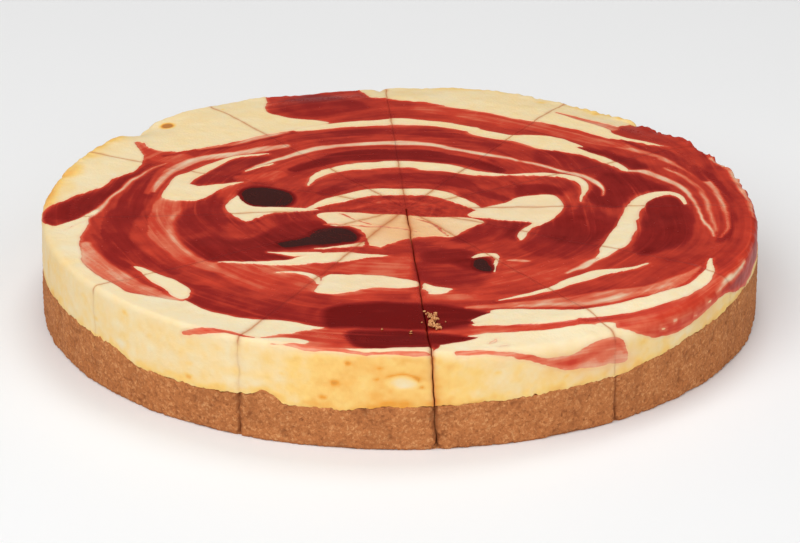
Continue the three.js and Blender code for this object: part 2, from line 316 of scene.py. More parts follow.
        (58, 70.6), (66, 65), (74, 59.6), (84, 56), (90, 54.4), (86, 58.4), (78, 62.4), (71, 68.4),
        (73, 71), (80, 76.5), (86, 88), (60, 110), (20, 126), (-10, 124)]),
    (RED, [(72, 70.6), (76, 74), (81, 77), (84, 82), (98, 72), (104, 55), (100, 44), (92, 50), (88, 54),
        (82, 59), (76, 62.6), (71, 67)]),
    (PINK, [(53.6, 86.4, 0.8), (60, 81, 1.6), (66, 76, 2.6), (72, 71, 3.6)]),
    (DEEP, [(70, 62, 2), (80, 55.5, 4), (88, 48, 5), (94, 38, 4), (99, 26, 3)]),
    (PINK, [(46, 68.6, 1.2), (58, 62, 2), (70, 55.4, 2.4), (80, 50, 3), (87, 44, 1.4)]),
    (BRIGHT, [(-10, 92, 10), (2, 92, 9.6), (14, 88, 8), (26, 83, 8), (38, 76, 8), (50, 69, 7), (62, 62, 6),
        (74, 55, 4)]),
    (CREAM, [(22, 72), (32, 68), (40, 64.4), (48, 63.4), (54, 61), (58.4, 57), (65, 49), (71, 41.6),
        (74.4, 34), (72.4, 33), (68, 39.6), (62, 45), (56, 48.6), (50, 51), (44, 54.8), (36, 60),
        (24, 66)]),
    (DARK, [(58.4, 53.4), (64, 52.4), (72, 47.4), (78, 42), (80, 36), (76, 34.4), (72.6, 40.6),
        (66, 46.6)]),
    (DEEP, [(46, 52), (55, 48), (64, 42.4), (71, 34), (66, 29), (60, 30), (52, 36), (46, 40)]),
    (DARK, [(66, 30), (74, 31), (80, 26), (86, 16), (80, 15), (74, 10), (70, 0), (62, 6), (62, 16)]),
    (BLUSH, [(38, 42, 1), (46, 38.4, 2), (52, 34, 2), (57, 30.4, 2.6), (61, 27, 2.4), (64, 22, 2.6),
        (65.6, 17, 1.6), (66, 12, 0.6)]),
    (CREAM, [(36, 30, 1), (45, 30, 2.6), (52, 29, 3), (57, 25.4, 3.6), (59.4, 19, 3), (59.4, 12, 1.2),
        (58.6, 6, 0.5)]),
    (RED, [(42, 25, 3), (50, 23, 4.4), (55.4, 17, 4), (57, 8, 3), (55.6, 0, 2)]),
    (DARK, [(38, 20), (44, 21), (50, 18), (53, 12), (46, 12.6), (38, 11.6)]),
    (CREAM, [(33, 4), (37, 9), (43.6, 11), (50, 11), (52.4, 5), (51.4, -3), (49.6, -7.4), (45.6, -12),
        (41.6, -17.4), (38.4, -26), (37.4, -21), (40.6, -15), (41.4, -11), (33, -9.8), (22, -7),
        (24, -2.4)]),
    # back left
    (CREAM, [(-91, 63), (-86, 59.4), (-81, 52.6), (-75, 49.6), (-68, 51), (-60, 55.4), (-52, 60.6),
        (-44, 65.2), (-34, 70.6), (-24, 77), (-31, 80.6), (-38, 83), (-44.4, 86.4), (-44.8, 95),
        (-43.6, 106), (-44, 124), (-90, 110), (-112, 84), (-102, 70)]),
    (CREAM, [(-89.4, 62.4), (-86, 52), (-84.4, 42), (-85.6, 35), (-90, 28.6), (-97.4, 21), (-104, 11),
        (-109, 5), (-122, 0), (-124, 40), (-110, 66), (-98, 70)]),
    (RED, [(-45.6, 108), (-44.8, 97), (-44.4, 86.4), (-38, 82.4), (-30, 80.2), (-20, 82), (-8, 86.4),
        (4, 88), (4, 96), (-5, 98.6), (-9, 101), (-13.4, 108), (-17, 114), (-23, 116), (-28, 121.4),
        (-32.4, 121), (-35, 114.6), (-40, 114), (-44, 116)]),
    (DEEP, [(-40, 98), (-40, 87), (-30, 83), (-18, 86), (-10, 92), (-20, 101), (-30, 103)]),
    (DEEP, [(-40, 63.6, 1.4), (-50, 58.4, 2.4), (-60, 53.4, 2), (-70, 50, 1.6), (-78, 46, 1)]),
    (PINK, [(-38, 67.4, 2), (-48, 61.6, 2.4), (-57, 55.8, 2), (-66, 51.6, 1)]),
    (ROSE, [(-38, 54.6, 3.4), (-47, 51.4, 4.4), (-56, 47.2, 4.2), (-65, 44, 4.4), (-71, 39, 4.4),
        (-75.6, 31, 4), (-78.6, 22, 3), (-80, 15, 1.2)]),
    (BLUSH, [(-47, 51.8, 1), (-56, 48, 1.6), (-65, 44.8, 1.8), (-71, 39.6, 1.6), (-75.6, 31, 1)]),
    (CREAM, [(-44, 48, 0.6), (-54, 44.4, 1.6), (-60, 39.4, 3), (-66, 31.4, 5), (-71.4, 22, 6),
        (-73, 12.6, 6.4), (-69, 9.4, 4)]),
    (CREAM, [(-77, 14), (-76, 8.4), (-68, 7), (-64, 8.4), (-60, 14), (-55, 20), (-50.6, 23), (-58, 21),
        (-67, 20.4), (-72, 24)]),
    (DEEP, [(-43, 46), (-52, 43), (-59, 36.4), (-66.6, 20.4), (-60, 21.2), (-52, 24), (-50.4, 31.6),
        (-44, 36)]),
    (CREAM, [(-42, 39, 1.2), (-47, 35.4, 1.8), (-50.4, 32, 0.5)]),
    (BRIGHT, [(-52, 27, 4), (-45, 26, 7), (-40, 30, 6)]),
    (BLACKENED, [(-52, 13), (-49, 18.4), (-43, 18.6), (-37, 15), (-34, 8), (-37, 3), (-44, 1.4), (-50, 5)]),
    (CREAM, [(-52.6, 12), (-55.4, 6), (-55.4, 0), (-52, -7), (-48, -11), (-45, -8), (-41, -3.6),
        (-34, -1.6), (-26, -1), (-36, 2), (-44, 0.8), (-49, 3.6), (-51.2, 8)]),
    # under the middle of the back, finished like the rest
    (CREAM, [(-34, 70, 3), (-22, 74.4, 4.6), (-6, 77.4, 5), (10, 76, 4.4), (24, 70.4, 4)]),
    (DEEP, [(-36, 60, 4), (-20, 67, 6), (0, 69, 7), (18, 64, 6), (32, 56, 4)]),
    (BLUSH, [(-50, 33, 1), (-40, 44, 2.4), (-24, 54, 3), (-4, 58, 3.6), (14, 55, 3), (28, 48, 2.4),
        (38, 42, 1.4)]),
    (DARK, [(-34, 34, 4), (-20, 45, 8), (0, 48, 9), (18, 43, 8), (32, 34, 5)]),
    (CREAM, [(-30, 20, 1), (-24, 32, 4), (-8, 38, 6), (10, 36.6, 6.4), (24, 30.6, 4), (36, 30, 1)]),
    (DEEP, [(-24, 14, 5), (-10, 25, 8), (8, 26, 8), (24, 18, 6), (33, 8, 3)]),
    (CREAM, [(-30, 0, 2), (-20, 8, 5), (-6, 14, 6), (10, 13, 6), (20, 6, 5), (27, -3, 3)]),
    (BRIGHT, [(-16, 0, 1), (-4, 6, 2.4), (8, 4, 2), (15, -3, 0.8)]),
    # small touches on the cream and in the sauce
    (CREAM, [(81.3, -88.2, 0.7), (82.3, -87.6, 0.5)]),
    (CREAM, [(95.4, -69.6, 0.8), (96.6, -68.7, 0.7)]),
    (BLUSH, [(92.3, -76.9, 0.7), (93.2, -76.2, 0.4)]),
    (BLUSH, [(84.2, -83.4, 0.7), (85, -82.8, 0.4)]),
    (BLUSH, [(27, -107.6, 0.4), (28.4, -106.2, 1.6), (28.8, -104.6, 0.5)]),
    (BLUSH, [(30, -109.4, 0.6), (31.6, -108.8, 1.2)]),
]

# Specks baked into the side as (direction, height, radius, how dark), and a pale pocket in it as
# (direction, height, half width, half height)
SIDE_SPECKS = [
    (262.4, 28.2, 0.7, 1.0), (260.2, 21.6, 0.9, 0.9), (272.6, 23.6, 1, 0.5), (273, 20.8, 0.6, 0.8),
    (258.4, 16.6, 0.7, 0.8), (236, 15.6, 0.8, 0.9), (236.2, 20, 0.8, 0.4), (223, 29.4, 0.8, 0.7),
    (266.6, 23.4, 0.5, 0.5), (267, 27, 0.5, 0.5), (248, 16, 1.2, 0.5), (252, 23, 0.5, 0.4),
    (285, 24, 0.6, 0.4), (296, 19.4, 0.6, 0.4), (215, 22, 0.9, 0.4), (222, 18.6, 1.1, -0.6),
    (195, 25, 1, 0.3), (228, 25, 1.2, 0.3), (310, 24, 0.8, 0.3), (150, 22, 1, 0.7), (120, 24, 1.2, 0.5),
    (70, 22, 1, 0.6), (20, 24, 1, 0.4),
]
SPECK_STRETCH, SPECK_DARKNESS = 1.7, 0.75
SIDE_POCKET = (270.2, 22.2, 4.0, 2.4)
POCKET_PALENESS, POCKET_EDGE_SHARE, POCKET_FADE = 0.75, 1.45, 1.2
POCKET_RING, RING_SHARE, RING_WIDTH = 0.4, 1.3, 0.16

# Specks on the top as (x, y, radius, how dark), and places where the rim is toasted as
# (direction, spread in degrees, how dark)
TOP_SPECKS = [
    (-78, 75, 1.7, 4.5), (-60, 90, 0.6, 0.6), (66, 88, 1.4, 0.5), (74, 84, 1.2, 0.5), (48, 98, 1.6, 0.4),
]
TOASTED_RIMS = [(172, 22, 1.2), (150, 13, 0.7), (52, 16, 0.5), (80, 12, 0.45), (200, 16, 0.3), (16, 24, 0.9)]
TOASTED_REACH = 8

# How baked the side is, how much more so about the front, and at its foot above the crust
SIDE_BAKE, FRONT_BAKE, FOOT_BAKE = 0.36, 0.46, 0.3
FRONT, FRONT_SPREAD = 268, 26
FOOT_BAKE_HEIGHT = 3
# How baked the top is, how much more so at the back, and where from and over how far
TOP_BAKE, BACK_BAKE = 0.08, 0.16
BACK_START, BACK_REACH = -40, 120
# Where the side's colour starts inside the rim and how far it takes, and how much less of both at the front
SIDE_START, SIDE_FADE = 3, 8
FRONT_LATER, FRONT_SHARPER = 1.5, 4.5

# Where the sauce has tinged the cream, as (x, y, radius, how much). The first, broad one over the middle is
# painted shade with a red cast
BLUSHES_AND_PAINTED_SHADE = [
    (2, -18, 21, 0.72), (-60, 32, 14, 0.15), (44, 0, 12, 0.15), (-8, -62, 14, 0.12), (48, -113, 4, 0.3),
    (58, -111, 5, 0.35), (67, -106, 5, 0.4), (75, -103, 4, 0.3), (30, -113, 3, 0.2), (98, -72, 6, 0.2),
]

# Dents in the rim as (direction, half width in degrees, depth), and how craggy it is as (direction, depth)
RIM_DENTS = [(141, 2.6, 1.3), (93.6, 0.7, 1.0), (136, 1.5, -0.4), (28, 1.6, 0.5), (45, 1.4, 0.6)]
RIM_CRAGS = [
    (0, 0.4), (12, 1.4), (40, 1.5), (58, 1.1), (74, 0.4), (128, 0.3), (146, 0.5), (172, 0.3), (200, 0.12),
    (330, 0.12),
]
RIM_SPREAD, DENT_SPREAD, SIDE_RELIEF_REACH = 3.2, 4.5, 3

# The lip of cream along the sauce's edge, and how wide the sauce's slope down from it is
LIP_HEIGHT, LIP_PLACE, LIP_WIDTH = 0.09, 0.45, 0.4
SAUCE_SLOPE = 0.9
# How much of the sauce's gloss is lost at the rim, and over how far
GLOSS_LOSS, GLOSS_REACH = 0.8, 14

# The crumbs' heap lies along a line over the top, and a few crumbs lie apart, as (x, y, radius)
CRUMB_LINE = [(8.6, -85.6), (10.4, -89.4), (9.8, -93), (12, -95.6)]
CRUMB_COUNT = 64
CRUMB_SPREAD = 0.75
CRUMB_RADII = (0.22, 0.6)
HEAP_HEIGHT = 0.8
STRAY_CRUMBS = [
    (-5.4, -96.8, 0.42), (3.2, -98.6, 0.5), (3.3, -99.7, 0.4), (13.8, -91, 0.3), (6.6, -91.4, 0.3),
]
CRUMB_SEED = 7
CRUMB_SINK = 0.3
CRUMB_FLATS, CRUMB_FLAT_DEPTHS, CRUMB_STRETCH = 9, (0.35, 0.75), (0.7, 1.5)
CRUMB_SMOOTH_UP_TO = 30

# The photo's view: places in metres, and the focal length in pixels of the 800 wide frame
CAMERA_PLACE = (0, -1.3684, 0.5885)
CAMERA_AIM = (0, 0, 0.010)
FOCAL_PIXELS = 4613.5
PHOTO_WIDTH = 800
SENSOR_WIDTH = 36

# Soft square lights as (name, place in metres, size in metres, watts)
LIGHTS = [
    ("key_light", (-0.6, -0.9, 1.3), 1.8, 27.5),
    ("fill_light", (1.2, -1.1, 1.0), 1.8, 13),
    ("back_light", (0.2, 0.8, 1.7), 0.8, 9.5),
]
WORLD_STRENGTH = 0.1

# The floor's side, in metres
FLOOR_SIZE = 8


def size_of(name, description, default, **limits):
    """A setting in millimetres."""
    return FloatProperty(name=name, description=description + ", in millimetres", default=default, **limits)


def count_of(name, description, default):
    """A setting that counts columns of faces."""
    return IntProperty(name=name, description=description, default=default, min=20)


def colour_of(name, description, default):
    """A colour setting."""
    return FloatVectorProperty(
        name=name, description=description, subtype="COLOR", size=3, default=default, min=0, max=1
    )


class CheesecakeSettings(bpy.types.PropertyGroup):
    """The sizes and colours that a user would change."""

    cut_width: size_of("Cut width", "Gap between shut slices", 0.04, min=0.02, max=1)
    open_cut_width: size_of("Open cut width", "Gap at the front cut", 0.36, min=0.1, max=2)
    filling_columns: count_of("Filling columns", "Columns of faces across a slice's filling", 118)
    filling_pitch: size_of("Filling pitch", "Spacing of the filling's rows", 0.5, min=0.2)
    crust_columns: count_of("Crust columns", "Columns of faces across a slice's crust", 150)
    crust_pitch: size_of("Crust pitch", "Spacing of the crust's rows", 0.4, min=0.2)
    grain_size: size_of("Crumb size", "Size of the crust's grains", 1.2, min=0.5)
    sauce_depth: size_of("Sauce depth", "How far the sauce lies below the cream", 0.14)
    cream: colour_of("Cream", "Baked cream cheese", (0.87, 0.745, 0.5))
    golden: colour_of("Golden side", "The filling's side", (0.92, 0.61, 0.2))
    amber: colour_of("Amber", "Spots that are half browned", (0.84, 0.36, 0.055))
    toasted: colour_of("Toasted", "Browned spots", (0.5, 0.2, 0.05))
    sauce_thin: colour_of("Thin sauce", "Sauce spread thin", (0.74, 0.175, 0.09))
    sauce_bright: colour_of("Bright sauce", "Sauce of middling depth", (0.61, 0.052, 0.024))
    sauce_deep: colour_of("Deep sauce", "Thick sauce", (0.3, 0.014, 0.01))
    sauce_pool: colour_of("Sauce pool", "The thickest pools", (0.16, 0.002, 0.001))
    sauce_blackened: colour_of("Blackened sauce", "Sauce darkened in the oven", (0.045, 0.008, 0.006))
    crumb_light: colour_of("Light crumb", "Pale grains", (0.76, 0.395, 0.165))
    crumb_brown: colour_of("Brown crumb", "Most of the crust", (0.52, 0.185, 0.058))
    crumb_dark: colour_of("Dark crumb", "Dark grains", (0.23, 0.07, 0.022))


# Curves and noises

def ease(share):
    """A share from 0 to 1, softened at both ends."""
    share = np.clip(share, 0, 1)
    return share * share * (3 - 2 * share)


def bell(value, width):
    """1 where the value is 0, falling to nothing over about two widths."""
    return np.exp(-((value / width) ** 2))


def away_from(directions, direction):
    """Degrees to each direction from another, from -180 to 180."""
    return (directions - direction + 180) % 360 - 180


def direction_of(x, y, near=0.0):
    """Degrees round the cake, given as the turn that is nearest to another direction."""
    return away_from(np.degrees(np.arctan2(y, x)), near) + near


def round_the_cake(pairs, directions):
    """A smooth closed curve round the cake through (direction, value) pairs."""
    at = np.array([pair[0] for pair in pairs] + [pairs[0][0] + 360], float)
    values = np.array([pair[1] for pair in pairs] + [pairs[0][1]], float)
    turned_on = (directions - at[0]) % 360 + at[0]
    after = np.clip(np.searchsorted(at, turned_on, side="right"), 1, len(at) - 1)
    share = ease((turned_on - at[after - 1]) / (at[after] - at[after - 1]))
    return values[after - 1] + (values[after] - values[after - 1]) * share


def wander(x, y, scale, seed):
    """Smooth noise from -1 to 1 with features of about that size."""
    table = np.random.default_rng(seed).random((NOISE_CELLS, NOISE_CELLS)) * 2 - 1
    column, row = np.floor(x / scale).astype(int), np.floor(y / scale).astype(int)
    across, up = ease(x / scale - column), ease(y / scale - row)

    def corner(right, above):
        return table[(column + right) % NOISE_CELLS, (row + above) % NOISE_CELLS]

    low = corner(0, 0) + (corner(1, 0) - corner(0, 0)) * across
    high = corner(0, 1) + (corner(1, 1) - corner(0, 1)) * across
    return low + (high - low) * up


def layered(x, y, noises, turn=0.0):
    """The sum of some noises, on axes turned by an angle."""
    if turn:
        x, y = x * math.cos(turn) - y * math.sin(turn), x * math.sin(turn) + y * math.cos(turn)
    return sum(amount * wander(x, y, scale, seed) for amount, scale, seed in noises)


def grains(x, y, size, seed):
    """Round grains packed side by side: 1 on top of each and 0 between them."""
    table = np.random.default_rng(seed).random((NOISE_CELLS, NOISE_CELLS, 3))
    column, row = np.floor(x / size).astype(int), np.floor(y / size).astype(int)
    nearest = np.full(x.shape, 9.0)
    for right in (-1, 0, 1):
        for above in (-1, 0, 1):
            seat = table[(column + right) % NOISE_CELLS, (row + above) % NOISE_CELLS]
            gap = np.hypot(x / size - column - right - seat[..., 0], y / size - row - above - seat[..., 1])
            nearest = np.minimum(nearest, gap / (0.75 + 0.5 * seat[..., 2]))
    return np.sqrt(np.clip(1 - nearest * nearest, 0, 1))


def layer_height(x, y, inner_height, edge_heights, reach):
    """The edge's own height at the side, settling to the inner height over the reach."""
    nearness = ease((np.hypot(x, y) - CAKE_RADIUS + reach) / reach)
    return inner_height + (round_the_cake(edge_heights, direction_of(x, y)) - inner_height) * nearness


def top_height(x, y):
    """The filling's top, before its relief."""
    return layer_height(x, y, TOP_HEIGHT, RIM_HEIGHTS, RIM_REACH)


def crust_height(x, y):
    """The crust's top, ragged where it comes out at the side."""
    at_side = ease((np.hypot(x, y) - CAKE_RADIUS) / RAGGED_REACH + 1)
    level = layer_height(x, y, CRUST_HEIGHT, CRUST_EDGE_HEIGHTS, CRUST_REACH)
    return level + layered(x, y, CRUST_EDGE_NOISE) * at_side


# The swirl

def smooth_curve(points, closed):
    """Points along a smooth curve through the given ones; a streak's also carry its width."""
    points = np.array(points, float)
    count = len(points)
    spans = count if closed else count - 1
    share = np.linspace(0, 1, CURVE_STEPS, endpoint=False)[:, None]
    made = []
    for span in range(spans):
        places = np.arange(span - 1, span + 3)
        places = places % count if closed else np.clip(places, 0, count - 1)
        before, start, end, after = points[places]
        bend = 2 * before - 5 * start + 4 * end - after
        twist = 3 * start - before - 3 * end + after
        made.append(0.5 * (2 * start + (end - before) * share + bend * share ** 2 + twist * share ** 3))
    if not closed:
        made.append(points[-1:])
    return np.concatenate(made)


def along_segment(x, y, start, end):
    """How far along a segment each place's nearest point is, and the distance to it."""
    run = end[:2] - start[:2]
    share = ((x - start[0]) * run[0] + (y - start[1]) * run[1]) / max(float(run @ run), TINY)
    share = np.clip(share, 0, 1)
    return share, np.hypot(x - start[0] - share * run[0], y - start[1] - share * run[1])


def depth_in_pool(x, y, outline):
    """How far inside a closed outline each place is, negative outside."""
    nearest = np.full(x.shape, np.inf)
    inside = np.zeros(x.shape, bool)
    for start, end in zip(outline, np.roll(outline, -1, axis=0)):
        nearest = np.minimum(nearest, along_segment(x, y, start, end)[1])
        if start[1] != end[1]:
            crossing = (end[0] - start[0]) * (y - start[1]) / (end[1] - start[1]) + start[0]
            inside ^= ((start[1] > y) != (end[1] > y)) & (x < crossing)
    return np.where(inside, nearest, -nearest)


def depth_in_streak(x, y, line):
    """How far inside a streak of changing width each place is, negative outside."""
    deepest = np.full(x.shape, -np.inf)
    for start, end in zip(line[:-1], line[1:]):
        share, gap = along_segment(x, y, start, end)
        width = np.maximum(start[2] + (end[2] - start[2]) * share, 0)
        deepest = np.maximum(deepest, width / 2 - gap)
    return deepest


def paint_swirl(x, y):
    """How far inside the sauce each place on the unrolled top is, in millimetres, and the sauce's tone."""
    shifted_x = x + layered(x, y, STROKE_SHIFT_X)
    shifted_y = y + layered(x, y, STROKE_SHIFT_Y)
    inside = np.full(x.shape, -STROKE_MARGIN)
    tone = np.full(x.shape, BRIGHT)
    for stroke_tone, points in SWIRL:
        is_pool = len(points[0]) == 2
        curve = smooth_curve(points, is_pool)
        low, high = curve[:, :2].min(axis=0) - STROKE_MARGIN, curve[:, :2].max(axis=0) + STROKE_MARGIN
        near = (shifted_x > low[0]) & (shifted_x < high[0]) & (shifted_y > low[1]) & (shifted_y < high[1])
        if not near.any():
            continue
        measure = depth_in_pool if is_pool else depth_in_streak
        depth = measure(shifted_x[near], shifted_y[near], curve)
        if stroke_tone == CREAM:
            inside[near] = np.minimum(inside[near], -depth)
            continue
        inside[near] = np.maximum(inside[near], depth)
        softness = POOL_SOFTNESS if is_pool else STREAK_SOFTNESS
        tone[near] += (stroke_tone - tone[near]) * ease(depth / softness + 0.5)
    return inside, np.clip(tone + layered(x, y, TONE_NOISE), LEAST_TONE, BLACKENED)


def flow_of(x, y, directions):
    """Across and along the way the sauce was stirred: round the cake, with a wobble."""
    across = np.hypot(x, y) + layered(x, y, FLOW_ACROSS_NOISE)
    along = np.radians(directions) * FLOW_RADIUS + layered(x, y, FLOW_ALONG_NOISE)
    return across, along


# Slices

def cut_rays(slice_number, columns, shut_width, open_width):
    """The rays out of a slice's tip: closer together beside the cuts, where the edges are eased."""
    directions = CUT_DIRECTIONS + [CUT_DIRECTIONS[0] + 360]
    half = [shut_width / 2, shut_width / 2]
    if slice_number == OPEN_CUT:
        half[0] = open_width / 2
    if slice_number == (OPEN_CUT - 1) % len(CUT_DIRECTIONS):
        half[1] = open_width / 2
    start, end = np.radians(directions[slice_number]), np.radians(directions[slice_number + 1])
    start_along = np.array([math.cos(start), math.sin(start)])
    end_along = np.array([math.cos(end), math.sin(end)])
    start_line = CUT_CENTRE + np.array([-start_along[1], start_along[0]]) * half[0]
    end_line = CUT_CENTRE - np.array([-end_along[1], end_along[0]]) * half[1]
    reach = np.linalg.solve(np.column_stack([start_along, -end_along]), end_line - start_line)[0]
    tip = start_line + start_along * reach
    even = np.linspace(FIRST_EVEN_RAY, 1 - FIRST_EVEN_RAY, columns + 1 - 2 * len(RAYS_BESIDE_CUT))
    shares = np.concatenate([RAYS_BESIDE_CUT, even, 1 - RAYS_BESIDE_CUT[::-1]])
    angles = start + (end - start) * shares
    along = np.stack([np.cos(angles), np.sin(angles)], axis=1)
    offset = along @ tip
    length = np.sqrt(offset ** 2 - tip @ tip + CAKE_RADIUS ** 2) - offset
    middle = math.degrees((start + end) / 2)
    return SimpleNamespace(tip=tip, along=along, length=length[None], angles=angles, middle=middle)


def points_on(rays, distance):
    """The plan places at distances, one row for each row of distances, along every ray."""
    places = rays.tip + rays.along[None] * distance[..., None]
    return places[..., 0], places[..., 1]


def inset_rows(rays, insets):
    """Rows of distances that stand in from the side by each inset."""
    return rays.length - np.array(insets)[:, None]


def rows_between(first, last, pitch):
    """Rows of values from the first to just before the last, that far apart."""
    count = max(2, int(round(float(np.max(np.abs(last - first))) / pitch)))
    shares = np.linspace(0, 1, count, endpoint=False)[:, None]
    return first + (last - first) * shares


def lay_out(slice_number, rays, distance, height):
    """What the making of a slice needs to know of every corner of its mesh, before its relief."""
    x, y = points_on(rays, distance)
    directions = direction_of(x, y, rays.middle)
    to_first = distance * np.sin(rays.angles - rays.angles[0])
    to_last = distance * np.sin(rays.angles[-1] - rays.angles)
    cuts = np.where(to_first < to_last, slice_number, (slice_number + 1) % len(CUT_DIRECTIONS))
    return SimpleNamespace(
        distance=distance, height=height, x=x, y=y, directions=directions,
        arc=np.radians(directions) * CAKE_RADIUS, gap=np.minimum(to_first, to_last), cuts=cuts,
    )


def cut_wobble(at):
    """How far each cut strays sideways from the knife's line; the same on both of its faces."""
    stray = layered(at.distance / 2 + CUT_NOISE_STEP * at.cuts, at.height, CUT_STRAY)
    lean = np.where(at.cuts == OPEN_CUT, OPEN_CUT_LEAN * (1 - at.height / TOP_HEIGHT), 0)
    sideways = stray * bell(at.gap, STRAY_SPREAD) + lean * bell(at.gap, LEAN_SPREAD)
    return sideways * ease(at.distance / STRAY_START)


def slice_mesh(name, rays, at, relief):
    """A grid through the section's rows, which start and end on the tip's upright edge, with its relief."""
    run, rise = np.gradient(at.distance, axis=0), np.gradient(at.height, axis=0)
    size = np.maximum(np.hypot(run, rise), TINY)
    distance = at.distance + rise / size * relief
    height = np.maximum(at.height - run / size * relief, 0)
    distance[0] = distance[-1] = 0
    height[0], height[-1] = height[0].mean(), height[-1].mean()
    sideways = cut_wobble(at)
    x, y = points_on(rays, distance)
    x = x - rays.along[None, :, 1] * sideways
    y = y + rays.along[None, :, 0] * sideways

    rows, columns = distance.shape
    bpy.ops.object.select_all(action="DESELECT")
    bpy.ops.mesh.primitive_grid_add(x_subdivisions=columns - 1, y_subdivisions=rows - 1, size=1)
    piece = bpy.context.object
    piece.name = piece.data.name = name
    piece.data.vertices.foreach_set("co", (np.stack([x, y, height], axis=-1) * MM).ravel())
    faces = np.zeros(distance.shape)
    faces[:, 0], faces[:, -1] = FIRST_FACE, LAST_FACE
    faces[0] = faces[-1] = BOTH_FACES
    add_values(piece, cut_face=faces)
    return piece


def add_values(piece, **values):
    """Stores a number at each corner under each name."""
    for name, numbers in values.items():
        layer = piece.data.attributes.new(name, "FLOAT", "POINT")
        layer.data.foreach_set("value", np.ascontiguousarray(numbers, dtype=np.float32).ravel())


def select_corners(piece, *faces):
    """Selects the corners that are marked with one of the faces, and no others."""
    bpy.ops.object.mode_set(mode="EDIT")
    bpy.ops.mesh.select_mode(type="VERT")
    bpy.ops.mesh.select_all(action="DESELECT")
    bpy.ops.object.mode_set(mode="OBJECT")
    marks = np.empty(len(piece.data.vertices))
    piece.data.attributes["cut_face"].data.foreach_get("value", marks)
    piece.data.vertices.foreach_set("select", np.isin(marks, faces))
    bpy.ops.object.mode_set(mode="EDIT")


def finish_slice(piece, material, node):
    """Closes a slice at its tip and cut faces, and gives it its material and its place in the frame."""
    select_corners(piece, BOTH_FACES)
    bpy.ops.mesh.remove_doubles(threshold=TIP_WELD * MM)
    for face in (FIRST_FACE, LAST_FACE):
        select_corners(piece, face, BOTH_FACES)
        bpy.ops.mesh.edge_face_add()
    bpy.ops.mesh.select_all(action="SELECT")
    bpy.ops.mesh.normals_make_consistent(inside=False)
    bpy.ops.object.mode_set(mode="OBJECT")
    piece.data.attributes.remove(piece.data.attributes["cut_face"])
    piece.data.materials.append(material)
    bpy.ops.object.shade_smooth_by_angle(angle=math.radians(SMOOTH_UP_TO))
    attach(piece, "root")
    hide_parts(node)


def spot(x, y, centre_x, centre_y, radius):
    """1 in the middle of a round spot and 0 outside it."""
    return bell(np.hypot(x - centre_x, y - centre_y), radius)


def bake_of(at):
    """How baked the filling is: 0 pale, about 1 golden, 2 brown."""
    beyond = at.outwards - CAKE_RADIUS
    at_front = ease(1 - np.abs(away_from(at.directions, FRONT)) / FRONT_SPREAD)
    side = SIDE_BAKE + FRONT_BAKE * at_front + layered(at.arc, at.height / 5, SIDE_BANDS)
    side += layered(at.arc, at.height, SIDE_CLOUDS) + layered(at.arc, at.height * 1.4, SIDE_PATCHES)
    above_foot = at.height - crust_height(at.x, at.y) - layered(at.arc, at.height, FOOT_TINT_EDGE)
    side += FOOT_BAKE * ease(1 - above_foot / FOOT_BAKE_HEIGHT)
    frayed = layered(at.arc, at.height, SPECK_EDGE)
    for direction, speck_height, radius, darkness in SIDE_SPECKS:
        around = np.radians(away_from(at.directions, direction)) * CAKE_RADIUS / SPECK_STRETCH + frayed
        side += SPECK_DARKNESS * darkness * spot(around, at.height, 0, speck_height, radius)
    direction, pocket_height, half_width, half_height = SIDE_POCKET
    around = np.radians(away_from(at.directions, direction)) * CAKE_RADIUS
    above = at.height - pocket_height
    from_pocket = np.hypot(around / half_width, above / half_height) + layered(at.arc, at.height, POCKET_EDGE)
    side -= POCKET_PALENESS * ease((POCKET_EDGE_SHARE - from_pocket) / POCKET_FADE)
    ring = bell(from_pocket - RING_SHARE, RING_WIDTH)
    side += POCKET_RING * ease(above / 2 + around / 9) * ring

    at_back = ease((at.y - BACK_START) / BACK_REACH)
    top = TOP_BAKE + BACK_BAKE * at_back + layered(at.x, at.y, TOP_CLOUDS)
    for x, y, radius, darkness in TOP_SPECKS:
        top += darkness * spot(at.x, at.y, x, y, radius)
    toasted = ease(1 + (beyond + layered(at.x, at.y, TOASTED_EDGE)) / TOASTED_REACH)
    for direction, spread, darkness in TOASTED_RIMS:
        top += darkness * ease(1 - np.abs(away_from(at.directions, direction)) / spread) * toasted

    start, fade = SIDE_START - FRONT_LATER * at_front, SIDE_FADE - FRONT_SHARPER * at_front
    return np.clip(top + (side - top) * ease((beyond + start) / fade), 0, 2)


